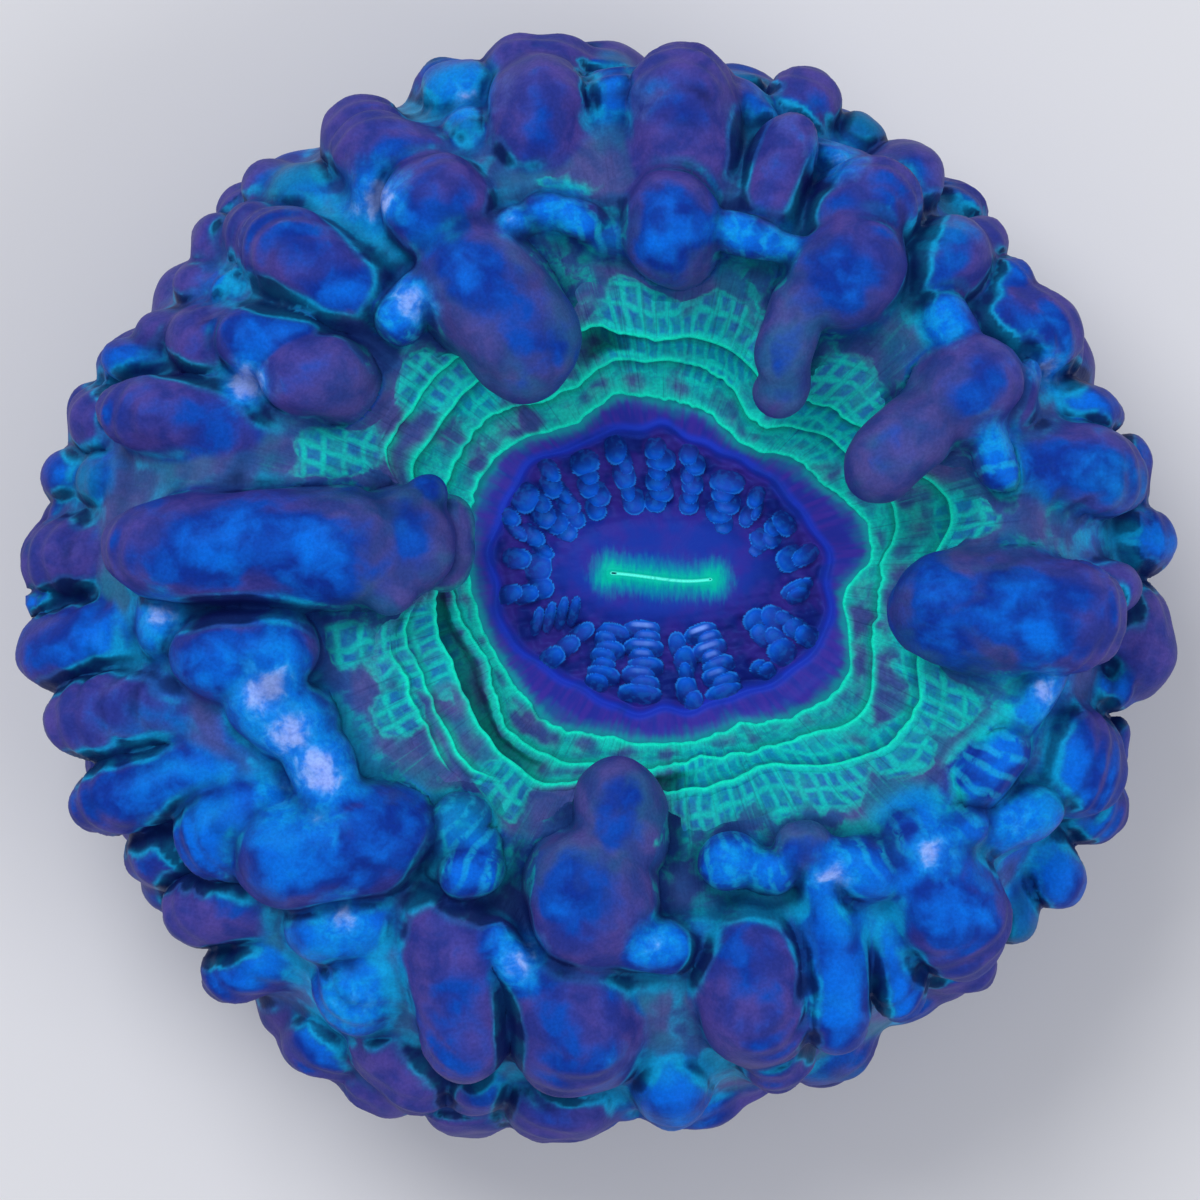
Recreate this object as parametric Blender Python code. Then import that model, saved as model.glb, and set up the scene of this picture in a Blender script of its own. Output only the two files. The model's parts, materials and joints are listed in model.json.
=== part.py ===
# Button coral: one solitary fleshy polyp, grown as one piece.
# An oral disc with beaded rows lies in the middle, wavy ledges rise around it, and radial ridges of
# swollen bulges run over the rim and down the side to a stony foot that is cut off flat.
# Millimetres inside, metres in the scene. The origin is the middle of the cut, with +Z up.
import math

import bpy
import bmesh
from mathutils import Matrix, Vector

# Driving dimensions, in millimetres.
millimetre = 0.001
mouth = Vector((4.7, 1.6))  # the middle of the oral disc, a little off the coral's axis
body_radius = 38.5  # the flesh under the rim bulges
crest_height = 36.0  # the tops of the highest ridges
rim_fall = 22.0  # how far the ridge tops fall from the crest to the rim
crest_band = (0.5, 0.56)  # share of the way from the mouth to the rim where the crest is level
inner_fall = 9.0  # how far the ridge tops dip at their inner tips
foot_radius = 25.0
foot_height = 4.5
disc_height = 21.5
voxel = 0.62  # the fineness at which the shapes are fused
most_triangles = 9600
level_within = 0.25  # points this close to the cut are part of its flat face

# Each ledge around the disc: how far its lip is from the mouth at every 20 degrees, starting at +X
# and turning left, and the height of its edge.
ledges = [
    ((14.5, 14.5, 12.8, 10.7, 11.7, 12.6, 12.6, 14.2, 14.9, 14.2, 13.9, 13.9, 13.4, 12.7, 12.8, 13.6, 15.2, 14.0),
     23.2),
    ((15.6, 17.3, 15.0, 12.9, 15.0, 14.9, 16.6, 16.6, 16.2, 15.6, 15.6, 16.0, 16.0, 15.0, 13.8, 15.0, 18.0, 15.8),
     25.2),
    ((19.4, 20.0, 16.9, 15.3, 16.9, 17.0, 18.6, 19.4, 18.6, 16.9, 17.6, 17.8, 18.0, 16.6, 16.0, 17.0, 20.4, 19.8),
     27.4),
]

# The bulges of each ridge, from its inner end outwards: x, y, half length, half width, and the
# heading of the length in degrees.
ridges = {
    "west": [(-11, 3.5, 3.2, 2, 90), (-14, 3.5, 3.8, 3, 90), (-24.5, 3, 9.5, 3.7, 0), (-38, 2.5, 4.2, 2.8, 0)],
    "west rim": [(-35.5, 8, 2.5, 1.6, 0), (-38.5, 8.5, 2.5, 1.8, 10), (-39, 5.5, 1.6, 1, 0)],
    "west north west": [(-30, 12.5, 5.5, 2.6, -5), (-36.5, 12.5, 2.4, 2.4, 0), (-37.8, 12.5, 2.2, 1.2, 90)],
    "small north west": [(-32.5, 16.5, 3.4, 1.5, -5), (-35.3, 16.4, 1.4, 1.4, 0)],
    "north west": [(-20.4, 15.3, 3.4, 2.7, 0), (-23.6, 17.8, 3.6, 2.4, -10), (-28, 18.2, 2.9, 2.5, 0),
                   (-31.8, 18.5, 2, 2, 0)],
    "pearls": [(-29.6, 22.2, 1.5, 1.4, 0), (-27, 22, 1.4, 1.2, 0)],
    "long north west": [(-20.6, 23.1, 5.2, 3.1, -30), (-24.6, 25.6, 2.6, 2.4, -30), (-28, 25.6, 2, 1.5, 90)],
    "upper north west": [(-21.4, 28.6, 2.8, 2.3, -10), (-24.4, 29.4, 1.8, 1.8, 0)],
    "great north": [(-7.4, 20.2, 6.2, 4, -55), (-11.6, 27.3, 3.6, 3.6, -50), (-15, 31.3, 4, 2.6, -15),
                    (-17.1, 33, 3, 2.8, 90)],
    "north crest": [(-16.6, 28.3, 2.8, 1.3, 100), (-13.7, 20.6, 2.5, 1.5, 50)],
    "north knobs": [(-10.2, 36.4, 2.3, 2, 0), (-9.2, 32.7, 2.3, 1.6, -60), (-11.6, 37.4, 1.5, 1.5, 0)],
    "north": [(-4.4, 34.2, 4.1, 3.4, 90), (-4.5, 38, 3.4, 2.5, 0), (0.4, 37.7, 1.8, 1.5, 0)],
    "north chain": [(-6.5, 26.3, 1.3, 1, 20), (-4, 27.3, 1.3, 1, 0), (-1.5, 26.8, 1.4, 1.1, -20),
                    (0.9, 25.5, 1.3, 1, -20)],
    "upright north": [(5.1, 26, 3.6, 3, 90), (6, 33.5, 5.6, 3.6, 88)],
    "north pockets": [(1.1, 35.6, 2.2, 2.2, 0), (10.7, 35, 2, 1.3, -40)],
    "slim north east": [(13, 30, 4, 2, 75)],
    "outer north east": [(14.8, 35.3, 2.8, 2.5, 70), (10.3, 37, 1.5, 0.9, 0), (18.8, 33.3, 1.6, 1.5, -45)],
    "crescent": [(17.3, 31.3, 2.4, 1, -15)],
    "north east": [(13.1, 14.8, 1.9, 1.7, 60), (13.8, 18.7, 3.6, 1.9, 70), (17.8, 23, 3.9, 3.6, 45),
                   (19.1, 27.3, 4, 3.4, 40), (22, 29.8, 2.8, 2.6, 40)],
    "north east chain": [(9.5, 25.7, 1.3, 1.1, -10), (11.6, 25.2, 1.3, 1.1, -10), (13.7, 24.6, 1.2, 1, -10)],
    "east north east": [(25.1, 23.8, 3.2, 2.8, 35), (27.7, 25.4, 1.9, 1.7, 35), (28.9, 22, 2.3, 1.5, 35)],
    "long east": [(31, 18.9, 3.8, 2.8, -20), (34, 18, 1.7, 1, 90), (25.3, 19.3, 2, 1.5, 120)],
    "inner east": [(21.5, 10.2, 4, 2.6, 42), (26.5, 14.4, 3.6, 3.1, 40), (30.5, 14.4, 2, 1.2, 80),
                   (28, 10.9, 2.8, 1, 105)],
    "east knobs": [(35.3, 13.2, 2.6, 1.7, -15), (36.9, 12.7, 1.5, 1.2, 0)],
    "east": [(34.5, 8.7, 4.7, 3, -10), (38.9, 8.4, 2.6, 1.5, 90)],
    "east pearl": [(39.3, 3.6, 2.8, 2.5, 0)],
    "great east": [(29.4, -1.6, 7.4, 3.9, -5), (38.9, -3.6, 3.8, 3, 100), (36, 0, 2.9, 1.9, 10)],
    "south east strip": [(31.6, -7.8, 2.8, 1, 60), (37.4, -7.3, 1.6, 1.3, 0)],
    "south east": [(34.5, -12.7, 3.6, 3.3, 100), (35.8, -15.9, 2.8, 2.6, -30), (38, -11.4, 1.6, 0.9, 90)],
    "south east crest": [(29.8, -16.6, 3.3, 1.9, 20), (28.7, -12.7, 2.5, 1.5, 45)],
    "lower south east": [(32.9, -20.2, 3, 2, -60), (29.8, -22.9, 2.9, 1.7, -70)],
    "south south east": [(24.5, -21.8, 5.8, 3.9, -65), (26.3, -27.3, 2.5, 2, 0)],
    "south crest": [(9.5, -19.3, 1.9, 1.6, 10), (12, -20.5, 1.9, 1.5, 0), (14.3, -18.5, 1.5, 1.3, 0),
                    (16.9, -19.8, 1.9, 1.6, 10), (19.6, -18.9, 1.9, 1.7, 0)],
    "south finger": [(21.3, -26.5, 4.1, 2, -80)],
    "second south finger": [(16.6, -26.9, 5.8, 2.4, -85)],
    "south": [(11, -28.7, 5.2, 3.8, -80), (12.8, -33.6, 2.8, 2.5, -70)],
    "south ties": [(7, -23.3, 1, 1, 0), (3.6, -25.7, 3, 1.7, 0)],
    "south knobs": [(5.2, -36.1, 2.9, 2.7, -85), (1.1, -36.9, 1.9, 1.6, 0)],
    "great south": [(1.5, -16.4, 3.6, 3, -90), (-0.7, -22.5, 4.5, 4.2, -80), (-2, -30.5, 5.5, 4.5, -80),
                    (-3, -37.4, 3.5, 2.8, 0)],
    "long south west": [(-10.4, -28.7, 6.2, 3, -80), (-9.6, -20.4, 3.6, 2, -70), (-6.5, -26.2, 2.6, 1.3, -50)],
    "rim south west": [(-14.5, -34.5, 3.6, 2.5, -40), (-15.8, -36, 2.8, 2.2, -30)],
    "rim south": [(-8.9, -36.2, 2, 2, 0), (-9.8, -37.9, 2.9, 2.2, 0)],
    "twin south west": [(-19.3, -29, 3, 2.2, 95), (-15.8, -28.7, 3, 2, 80), (-20.2, -33.4, 3, 2.3, -10)],
    "low south west": [(-18.9, -24.2, 3.5, 2.3, 10), (-24.9, -27.3, 4, 2.2, 20)],
    "first west finger": [(-19.3, -18.4, 6, 3.8, 10), (-26.8, -22.8, 4.6, 2.5, 15)],
    "second west finger": [(-26.2, -16.9, 4.2, 3, 25), (-31.5, -19, 3, 2.5, 20)],
    "third west finger": [(-20, -13.5, 3.4, 2.2, 110), (-30.5, -13.8, 7.6, 2.5, 15)],
    "fourth west finger": [(-23, -8.6, 3.6, 2.8, -40), (-33, -8.4, 6.9, 2.8, 14)],
    "fifth west finger": [(-25.6, -4.7, 4.5, 3, 0), (-36, -4, 6, 2.8, 8), (-31.6, -2.5, 2.2, 1.7, 90)],
    "west crease": [(-38.2, -0.7, 3.3, 1, 5)],
}

# The beaded rows of the disc: bearing from the mouth in degrees, distances of the innermost and the
# outermost bead, and how many beads, and how wide they are.
bead_rows = [
    (2, 8.5, 12, 4, 1.0), (16, 6.5, 10.5, 5, 1.1), (32, 6.5, 10.5, 4, 1.0), (45, 5.5, 8, 4, 1.1),
    (58, 5.5, 8, 4, 1.2), (72, 4.9, 8.6, 5, 0.9), (88, 4.9, 8.8, 4, 1.1), (107, 5.2, 9.2, 4, 0.9),
    (124, 5.8, 10, 4, 1.1), (140, 7, 11, 4, 1.0), (153, 8, 11.5, 4, 1.0), (166, 8.5, 12, 4, 0.9),
    (178, 8.6, 12, 3, 1.1), (193, 9, 12, 3, 1.0), (208, 7.5, 11.5, 5, 0.9), (226, 6.5, 11.2, 5, 0.9),
    (240, 5.2, 10.5, 8, 0.9), (258, 4.7, 10.2, 9, 1.1), (275, 5.7, 10.2, 5, 0.8), (295, 5.2, 10.4, 8, 1.1),
    (318, 6.5, 10.8, 5, 1.0), (338, 7.5, 11, 5, 0.9),
]

rim_droop = 0.9  # how much taller a rim bulge is than a crest one, for its width

# Rows of bulges down the side: how many, how far from the axis, the height of their middle, and
# their half width and half height.
side_rows = [(40, 37.2, 16.0, 2.9, 4.6), (44, 35.6, 10.4, 2.6, 4.0), (40, 32.4, 6.4, 2.4, 2.6)]


def way_out(x, y):
    """Share of the way from the mouth to the rim, along the line through this point."""
    away = Vector((x, y)) - mouth
    if away.length < 1e-6:
        return 0.0
    ahead = away.normalized()
    along = mouth.dot(ahead)
    outer = body_radius + 2.5
    reach = -along + math.sqrt(along * along + outer * outer - mouth.length_squared)
    return away.length / reach


def ridge_top(share):
    """Height of a full-width ridge at this share of the way out: a level crest that rounds over the rim."""
    start, end = crest_band
    if share < start:
        return crest_height - inner_fall * ((start - share) / 0.2) ** 2
    over = min(max(share - end, 0.0) / (1.0 - end), 0.998)
    return crest_height - rim_fall * (1.0 - math.sqrt(1.0 - over * over))


def around(values, turn):
    """Distance at this bearing from a list spaced evenly round the circle, smoothly joined."""
    count = len(values)
    place = (turn / (2.0 * math.pi)) * count
    first = math.floor(place)
    t = place - first
    a, b, c, d = (values[(first + step) % count] for step in (-1, 0, 1, 2))
    return b + 0.5 * t * (c - a + t * (2 * a - 5 * b + 4 * c - d + t * (3 * (b - c) + d - a)))


def drawn_out(unit, half, ball):
    """One coordinate of a ball of this radius, drawn out to a rounded end at this half length."""
    return ball * unit + max(half - ball, 0.0) * math.tanh(2.2 * unit) / math.tanh(2.2)


def bulge(mesh, place, halves, heading):
    """A sausage-shaped swelling: a ball drawn out along its heading and upright."""
    long, wide, tall = halves
    made = bmesh.ops.create_icosphere(mesh, subdivisions=3, radius=1.0)
    turned = Matrix.Rotation(math.radians(heading), 3, "Z")
    for vertex in made["verts"]:
        unit = vertex.co
        along = drawn_out(unit.x, long, min(long, wide))
        upright = drawn_out(unit.z, tall, min(tall, wide))
        local = turned @ Vector((along, wide * unit.y, upright))
        vertex.co = (Vector(place) + local) * millimetre


def add_ridges(mesh):
    for bulges in ridges.values():
        for x, y, long, wide, heading in bulges:
            share = way_out(x, y)
            slimness = max(3.6 - wide, 0.0)
            top = ridge_top(share) - 1.6 * slimness
            droop = min(max((share - 0.72) / 0.28, 0.0), 1.0)
            tall = wide * (1.15 + rim_droop * droop)
            bulge(mesh, (x, y, top - tall), (long, wide, tall), heading)


def add_side_rows(mesh):
    """Rows of upright bulges under the rim, each row a little further in and turned half a step."""
    for row, (count, distance, middle, half_width, half_height) in enumerate(side_rows):
        for step in range(count):
            turn = 2.0 * math.pi * (step + 0.5 * row + 0.22 * math.sin(4.1 * step)) / count
            out = distance + 0.7 * math.sin(2.7 * step + row)
            wide = half_width * (1.0 + 0.16 * math.sin(3.3 * step + 2.0 * row))
            height = middle + 0.8 * math.sin(5.3 * step)
            place = (out * math.cos(turn), out * math.sin(turn), height)
            bulge(mesh, place, (2.6, wide, half_height), math.degrees(turn))


def body_rings(turn):
    """The flesh from the mouth out and down to the foot at one bearing: distance, height, and how
    far the ring's own middle has moved from the mouth to the coral's axis."""
    lips = [around(distances, turn) for distances, _ in ledges]
    heights = [height for _, height in ledges]
    rings = [(lips[0] * 0.5, disc_height + 0.4, 0.0)]
    rings.append((lips[0] * 0.68, disc_height - 0.5, 0.0))
    rings.append((lips[0] * 0.88, disc_height, 0.0))
    for lip, height in zip(lips, heights):
        rings.append((lip + 0.5, height - 1.5, 0.0))
        rings.append((lip - 0.1, height - 0.3, 0.0))
        rings.append((lip + 0.5, height + 0.3, 0.0))
    rings.append((max(lips[-1] + 3.5, 22.5), 29.3, 0.2))
    rings.append((body_radius * 0.68, 30.2, 0.6))
    rings.append((body_radius * 0.82, 27.5, 1.0))
    rings.append((body_radius * 0.94, 22.5, 1.0))
    rings.append((body_radius, 15.5, 1.0))
    rings.append((body_radius * 0.96, 9.5, 1.0))
    rings.append((body_radius * 0.84, 5.6, 1.0))
    rings.append((foot_radius + 2.0, foot_height, 1.0))
    rings.append((foot_radius, 0.0, 1.0))
    rings.append((foot_radius, -2.0, 1.0))
    return rings


def add_body(mesh):
    """The turned flesh with its dish, ledges, shoulder and foot, as one closed skin."""
    steps = 120
    columns = []
    for step in range(steps):
        turn = 2.0 * math.pi * step / steps
        ahead = Vector((math.cos(turn), math.sin(turn)))
        column = []
        for distance, height, moved in body_rings(turn):
            flat = mouth * (1.0 - moved) + ahead * distance
            column.append(mesh.verts.new((flat.x * millimetre, flat.y * millimetre, height * millimetre)))
        columns.append(column)
    top = mesh.verts.new((mouth.x * millimetre, mouth.y * millimetre, (disc_height + 0.2) * millimetre))
    bottom = mesh.verts.new((0.0, 0.0, -2.0 * millimetre))
    for step in range(steps):
        here = columns[step]
        beside = columns[(step + 1) % steps]
        mesh.faces.new((top, here[0], beside[0]))
        mesh.faces.new((bottom, beside[-1], here[-1]))
        for level in range(len(here) - 1):
            mesh.faces.new((here[level], here[level + 1], beside[level + 1], beside[level]))


def add_beads(mesh):
    for bearing, inner, outer, count, half_width in bead_rows:
        ahead = Vector((math.cos(math.radians(bearing)), math.sin(math.radians(bearing))))
        for step in range(count):
            distance = inner + (outer - inner) * step / (count - 1)
            flat = mouth + ahead * distance
            halves = (half_width * 1.15, half_width, half_width)
            bulge(mesh, (flat.x, flat.y, disc_height), halves, bearing + 90)


def add_mouth(mesh):
    """Two soft lips that close on the slit."""
    for side in (-1, 1):
        bulge(mesh, (mouth.x, mouth.y + side * 0.75, disc_height), (3.9, 0.8, 1.0), 0)


def make_material():
    made = bpy.data.materials.new("coral flesh")
    made.use_nodes = True
    shader = made.node_tree.nodes["Principled BSDF"]
    shader.inputs["Base Color"].default_value = (0.03, 0.09, 0.42, 1.0)
    shader.inputs["Roughness"].default_value = 0.42
    shader.inputs["Metallic"].default_value = 0.0
    return made


def fuse(loose):
    """All the swellings and the body as one skin, with nothing loose or sealed inside."""
    remesh = loose.modifiers.new("fuse", "REMESH")
    remesh.mode = "VOXEL"
    remesh.voxel_size = voxel * millimetre
    smooth = loose.modifiers.new("soften", "SMOOTH")
    smooth.factor = 0.5
    smooth.iterations = 2
    graph = bpy.context.evaluated_depsgraph_get()
    whole = bmesh.new()
    whole.from_object(loose, graph)
    keep_largest(whole)
    return whole


def keep_largest(mesh):
    """Drops every island but the largest, which is the outer skin."""
    left = set(mesh.verts)
    islands = []
    while left:
        found = [left.pop()]
        island = set(found)
        while found:
            vertex = found.pop()
            for edge in vertex.link_edges:
                other = edge.other_vert(vertex)
                if other in left:
                    left.discard(other)
                    island.add(other)
                    found.append(other)
        islands.append(island)
    islands.sort(key=len)
    spare = [vertex for island in islands[:-1] for vertex in island]
    bmesh.ops.delete(mesh, geom=spare, context="VERTS")


def cut_flat(mesh):
    """The stony foot sawn off level at the height of zero."""
    everything = list(mesh.verts) + list(mesh.edges) + list(mesh.faces)
    cut = bmesh.ops.bisect_plane(mesh, geom=everything, plane_co=(0, 0, 0), plane_no=(0, 0, 1), clear_inner=True)
    edges = [item for item in cut["geom_cut"] if isinstance(item, bmesh.types.BMEdge)]
    bmesh.ops.contextual_create(mesh, geom=edges)


def joined(name, mesh):
    """A new object in the scene that holds this mesh."""
    data = bpy.data.meshes.new(name)
    mesh.to_mesh(data)
    mesh.free()
    made = bpy.data.objects.new(name, data)
    bpy.context.scene.collection.objects.link(made)
    return made


def thinned(whole):
    """The same skin with fewer triangles, and its cut face level again."""
    count = len(whole.faces)
    dense = joined("dense skin", whole)
    fewer = dense.modifiers.new("fewer faces", "DECIMATE")
    fewer.ratio = most_triangles / count
    graph = bpy.context.evaluated_depsgraph_get()
    thin = bmesh.new()
    thin.from_object(dense, graph)
    bpy.data.objects.remove(dense)
    for vertex in thin.verts:
        if vertex.co.z < level_within * millimetre:
            vertex.co.z = 0.0
    return thin


def make_coral():
    loose = bmesh.new()
    add_body(loose)
    add_ridges(loose)
    add_side_rows(loose)
    add_beads(loose)
    add_mouth(loose)
    swellings = joined("swellings", loose)
    whole = fuse(swellings)
    bpy.data.objects.remove(swellings)
    cut_flat(whole)
    bmesh.ops.triangulate(whole, faces=list(whole.faces))
    bmesh.ops.recalc_face_normals(whole, faces=list(whole.faces))
    coral = joined("button_coral", thinned(whole))
    coral.data.shade_smooth()
    coral.data.set_sharp_from_angle(angle=math.radians(60))
    coral.data.materials.append(make_material())


for left_over in list(bpy.data.objects):
    bpy.data.objects.remove(left_over)

make_coral()
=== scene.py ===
import json
import math

import bpy
import numpy as np
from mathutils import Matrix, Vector

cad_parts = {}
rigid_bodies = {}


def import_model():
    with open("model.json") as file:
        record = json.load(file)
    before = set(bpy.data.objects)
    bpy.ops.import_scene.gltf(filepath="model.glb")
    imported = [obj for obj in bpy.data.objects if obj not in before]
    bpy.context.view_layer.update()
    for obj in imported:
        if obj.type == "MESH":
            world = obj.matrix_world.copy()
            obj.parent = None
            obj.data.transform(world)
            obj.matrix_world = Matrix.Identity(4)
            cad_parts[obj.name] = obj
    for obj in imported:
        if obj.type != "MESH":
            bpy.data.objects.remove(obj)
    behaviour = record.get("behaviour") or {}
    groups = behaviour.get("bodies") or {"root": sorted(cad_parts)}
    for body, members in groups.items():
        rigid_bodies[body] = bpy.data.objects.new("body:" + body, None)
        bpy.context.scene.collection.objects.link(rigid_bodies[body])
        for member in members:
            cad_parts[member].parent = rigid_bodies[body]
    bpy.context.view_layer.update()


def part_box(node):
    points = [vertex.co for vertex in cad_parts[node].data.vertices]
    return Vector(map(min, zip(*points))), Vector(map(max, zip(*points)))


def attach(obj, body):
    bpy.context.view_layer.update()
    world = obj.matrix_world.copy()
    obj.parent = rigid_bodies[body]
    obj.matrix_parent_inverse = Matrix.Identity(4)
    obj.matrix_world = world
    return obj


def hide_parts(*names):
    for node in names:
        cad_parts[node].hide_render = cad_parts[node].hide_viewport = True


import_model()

# A button coral seen from above: one fleshy polyp with a beaded disc, wavy ledges round it, ridges of
# swollen bulges over the rim and a sawn stony foot. Lengths below are in millimetres.
coral = {
    "width": 84.2,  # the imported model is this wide, which gives the scale of everything else
    "mouth": (4.7, 1.6),
    "rimRadius": 41.0,  # from the axis
    "crestHeight": 36.0,
    "rimFall": 22.0,  # how far the crest comes down at the rim
    "crestBand": (0.5, 0.56),  # where the crest is level, as shares of the way from the mouth to the rim
    "innerFall": 9.0,  # how steeply it comes down towards the mouth
    "footRadius": 25.0,
}
lowCorner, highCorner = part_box("button_coral")
mm = (highCorner.x - lowCorner.x) / coral["width"]
mouth = np.array(coral["mouth"])
print("scale", round(mm * 1000, 4))


def deselectAll():
    for thing in bpy.context.view_layer.objects:
        thing.select_set(False)


def makeActive(piece):
    deselectAll()
    piece.select_set(True)
    bpy.context.view_layer.objects.active = piece


def applyModifier(piece, kind, **settings):
    modifier = piece.modifiers.new(kind.lower(), kind)
    for name, value in settings.items():
        setattr(modifier, name, value)
    makeActive(piece)
    bpy.ops.object.modifier_apply(modifier=modifier.name)


def inEditMode(piece, *steps):
    makeActive(piece)
    bpy.ops.object.mode_set(mode="EDIT")
    bpy.ops.mesh.select_all(action="SELECT")
    for step in steps:
        step()
    bpy.ops.object.mode_set(mode="OBJECT")


def placesOf(piece):
    flat = np.empty(len(piece.data.vertices) * 3, np.float64)
    piece.data.vertices.foreach_get("co", flat)
    return flat.reshape(-1, 3) / mm


def movePlaces(piece, places):
    piece.data.vertices.foreach_set("co", (places * mm).astype(np.float32).ravel())
    piece.data.update()


def setField(piece, name, values):
    field = piece.data.attributes.new(name, "FLOAT", "POINT")
    field.data.foreach_set("value", np.asarray(values, np.float32).ravel())


# Bearings all the way round, in degrees and in radians.
def roundOf(columns):
    bearings = np.linspace(0.0, 360.0, columns + 1)
    return bearings, np.radians(bearings)


# The last column of each grid is laid on its first.
def closeSeam(*grids):
    for grid in grids:
        grid[:, -1] = grid[:, 0]


# A grid primitive rolled up: each column is one bearing, each row one ring. Its first and last columns
# meet, and so do rings that shrink to a point or return to where they started.
def rolledSheet(name, x, y, z, fields):
    rings, columns = x.shape
    deselectAll()
    bpy.ops.mesh.primitive_grid_add(x_subdivisions=columns - 1, y_subdivisions=rings - 1, size=0.1)
    piece = bpy.context.object
    piece.name = name
    piece.data.name = name
    movePlaces(piece, np.stack([x, y, z], axis=-1).reshape(-1, 3))
    for fieldName, values in fields.items():
        setField(piece, fieldName, values)
    inEditMode(piece, lambda: bpy.ops.mesh.remove_doubles(threshold=2e-6),
               lambda: bpy.ops.mesh.normals_make_consistent(inside=False))
    smoothShade(piece)
    return piece


def smoothShade(piece):
    makeActive(piece)
    bpy.ops.object.shade_smooth()


def dress(piece, material):
    piece.data.materials.clear()
    piece.data.materials.append(material)
    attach(piece, "root")
    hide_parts("button_coral")
    triangles = sum(len(face.vertices) - 2 for face in piece.data.polygons)
    print(piece.name, "triangles", triangles)


def softStep(values, start, end):
    share = np.clip((values - start) / (end - start), 0.0, 1.0)
    return share * share * (3.0 - 2.0 * share)


# The distance at each bearing from pairs of bearing and distance, softened over this many degrees.
def ringReach(pairs, bearings, soften=2.6):
    apart = 0.5
    fine = np.arange(0.0, 360.0, apart)
    known, reach = zip(*sorted(pairs))
    raw = np.interp(fine, known, reach, period=360.0)
    span = int(3.0 * soften / apart)
    kernel = np.exp(-0.5 * (np.arange(-span, span + 1) * apart / soften) ** 2)
    kernel /= kernel.sum()
    wrapped = np.concatenate([raw[-span:], raw, raw[:span]])
    return np.interp(bearings, fine, np.convolve(wrapped, kernel, "valid"), period=360.0)


# How much of a thing is there at each bearing, from the spans of bearings where it is.
def presence(spans, bearings, edge=5.0):
    there = np.zeros_like(bearings)
    for start, end in spans:
        half = 0.5 * (end - start)
        away = np.abs((bearings - 0.5 * (start + end) + 180.0) % 360.0 - 180.0)
        there = np.maximum(there, 1.0 - softStep(away, half - edge, half + edge))
    return there


def flatPlaces(x, y):
    return np.stack([x, y, np.zeros_like(x)], axis=-1)


# Smooth unevenness between about -1 and 1, with features of this size.
def wander(places, size, seed):
    total = np.zeros(places.shape[:-1])
    for step in range(6):
        turn = 2.4 * step + seed
        tilt = 0.9 * math.sin(1.7 * step + 2.0 * seed)
        heading = np.array([math.cos(turn) * math.cos(tilt), math.sin(turn) * math.cos(tilt), math.sin(tilt)])
        length = size * (0.8 + 0.13 * step)
        total += np.sin(places @ heading * (2.0 * math.pi / length) + 5.1 * seed + 1.3 * step)
    return total / 3.2


def tone(red, green, blue):
    linear = []
    for level in (red, green, blue):
        share = level / 255.0
        linear.append(share / 12.92 if share <= 0.04045 else ((share + 0.055) / 1.055) ** 2.4)
    return (*linear, 1.0)


# A node's output, with maths that add more nodes.
class Wire:
    def __init__(self, paint, socket):
        self.paint = paint
        self.socket = socket

    def maths(self, operation, *others):
        return self.paint.add("ShaderNodeMath", {"operation": operation}, dict(enumerate((self, *others))))

    def __add__(self, other):
        return self.maths("ADD", other)

    def __mul__(self, other):
        return self.maths("MULTIPLY", other)

    def __sub__(self, other):
        return self.maths("SUBTRACT", other)

    def __rsub__(self, other):
        return self.paint.add("ShaderNodeMath", {"operation": "SUBTRACT"}, {0: other, 1: self})

    def __truediv__(self, other):
        return self.maths("DIVIDE", other)

    def __pow__(self, other):
        return self.maths("POWER", other)

    def __abs__(self):
        return self.maths("ABSOLUTE")

    def sine(self):
        return self.maths("SINE")

    def larger(self, other):
        return self.maths("MAXIMUM", other)

    # 0 before start and 1 after end, or the other way round where start is the larger
    def step(self, start, end):
        if start > end:
            return 1.0 - self.step(end, start)
        inputs = {0: self, 1: start, 2: end, 3: 0.0, 4: 1.0}
        return self.paint.add("ShaderNodeMapRange", {"interpolation_type": "SMOOTHSTEP"}, inputs)


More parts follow.
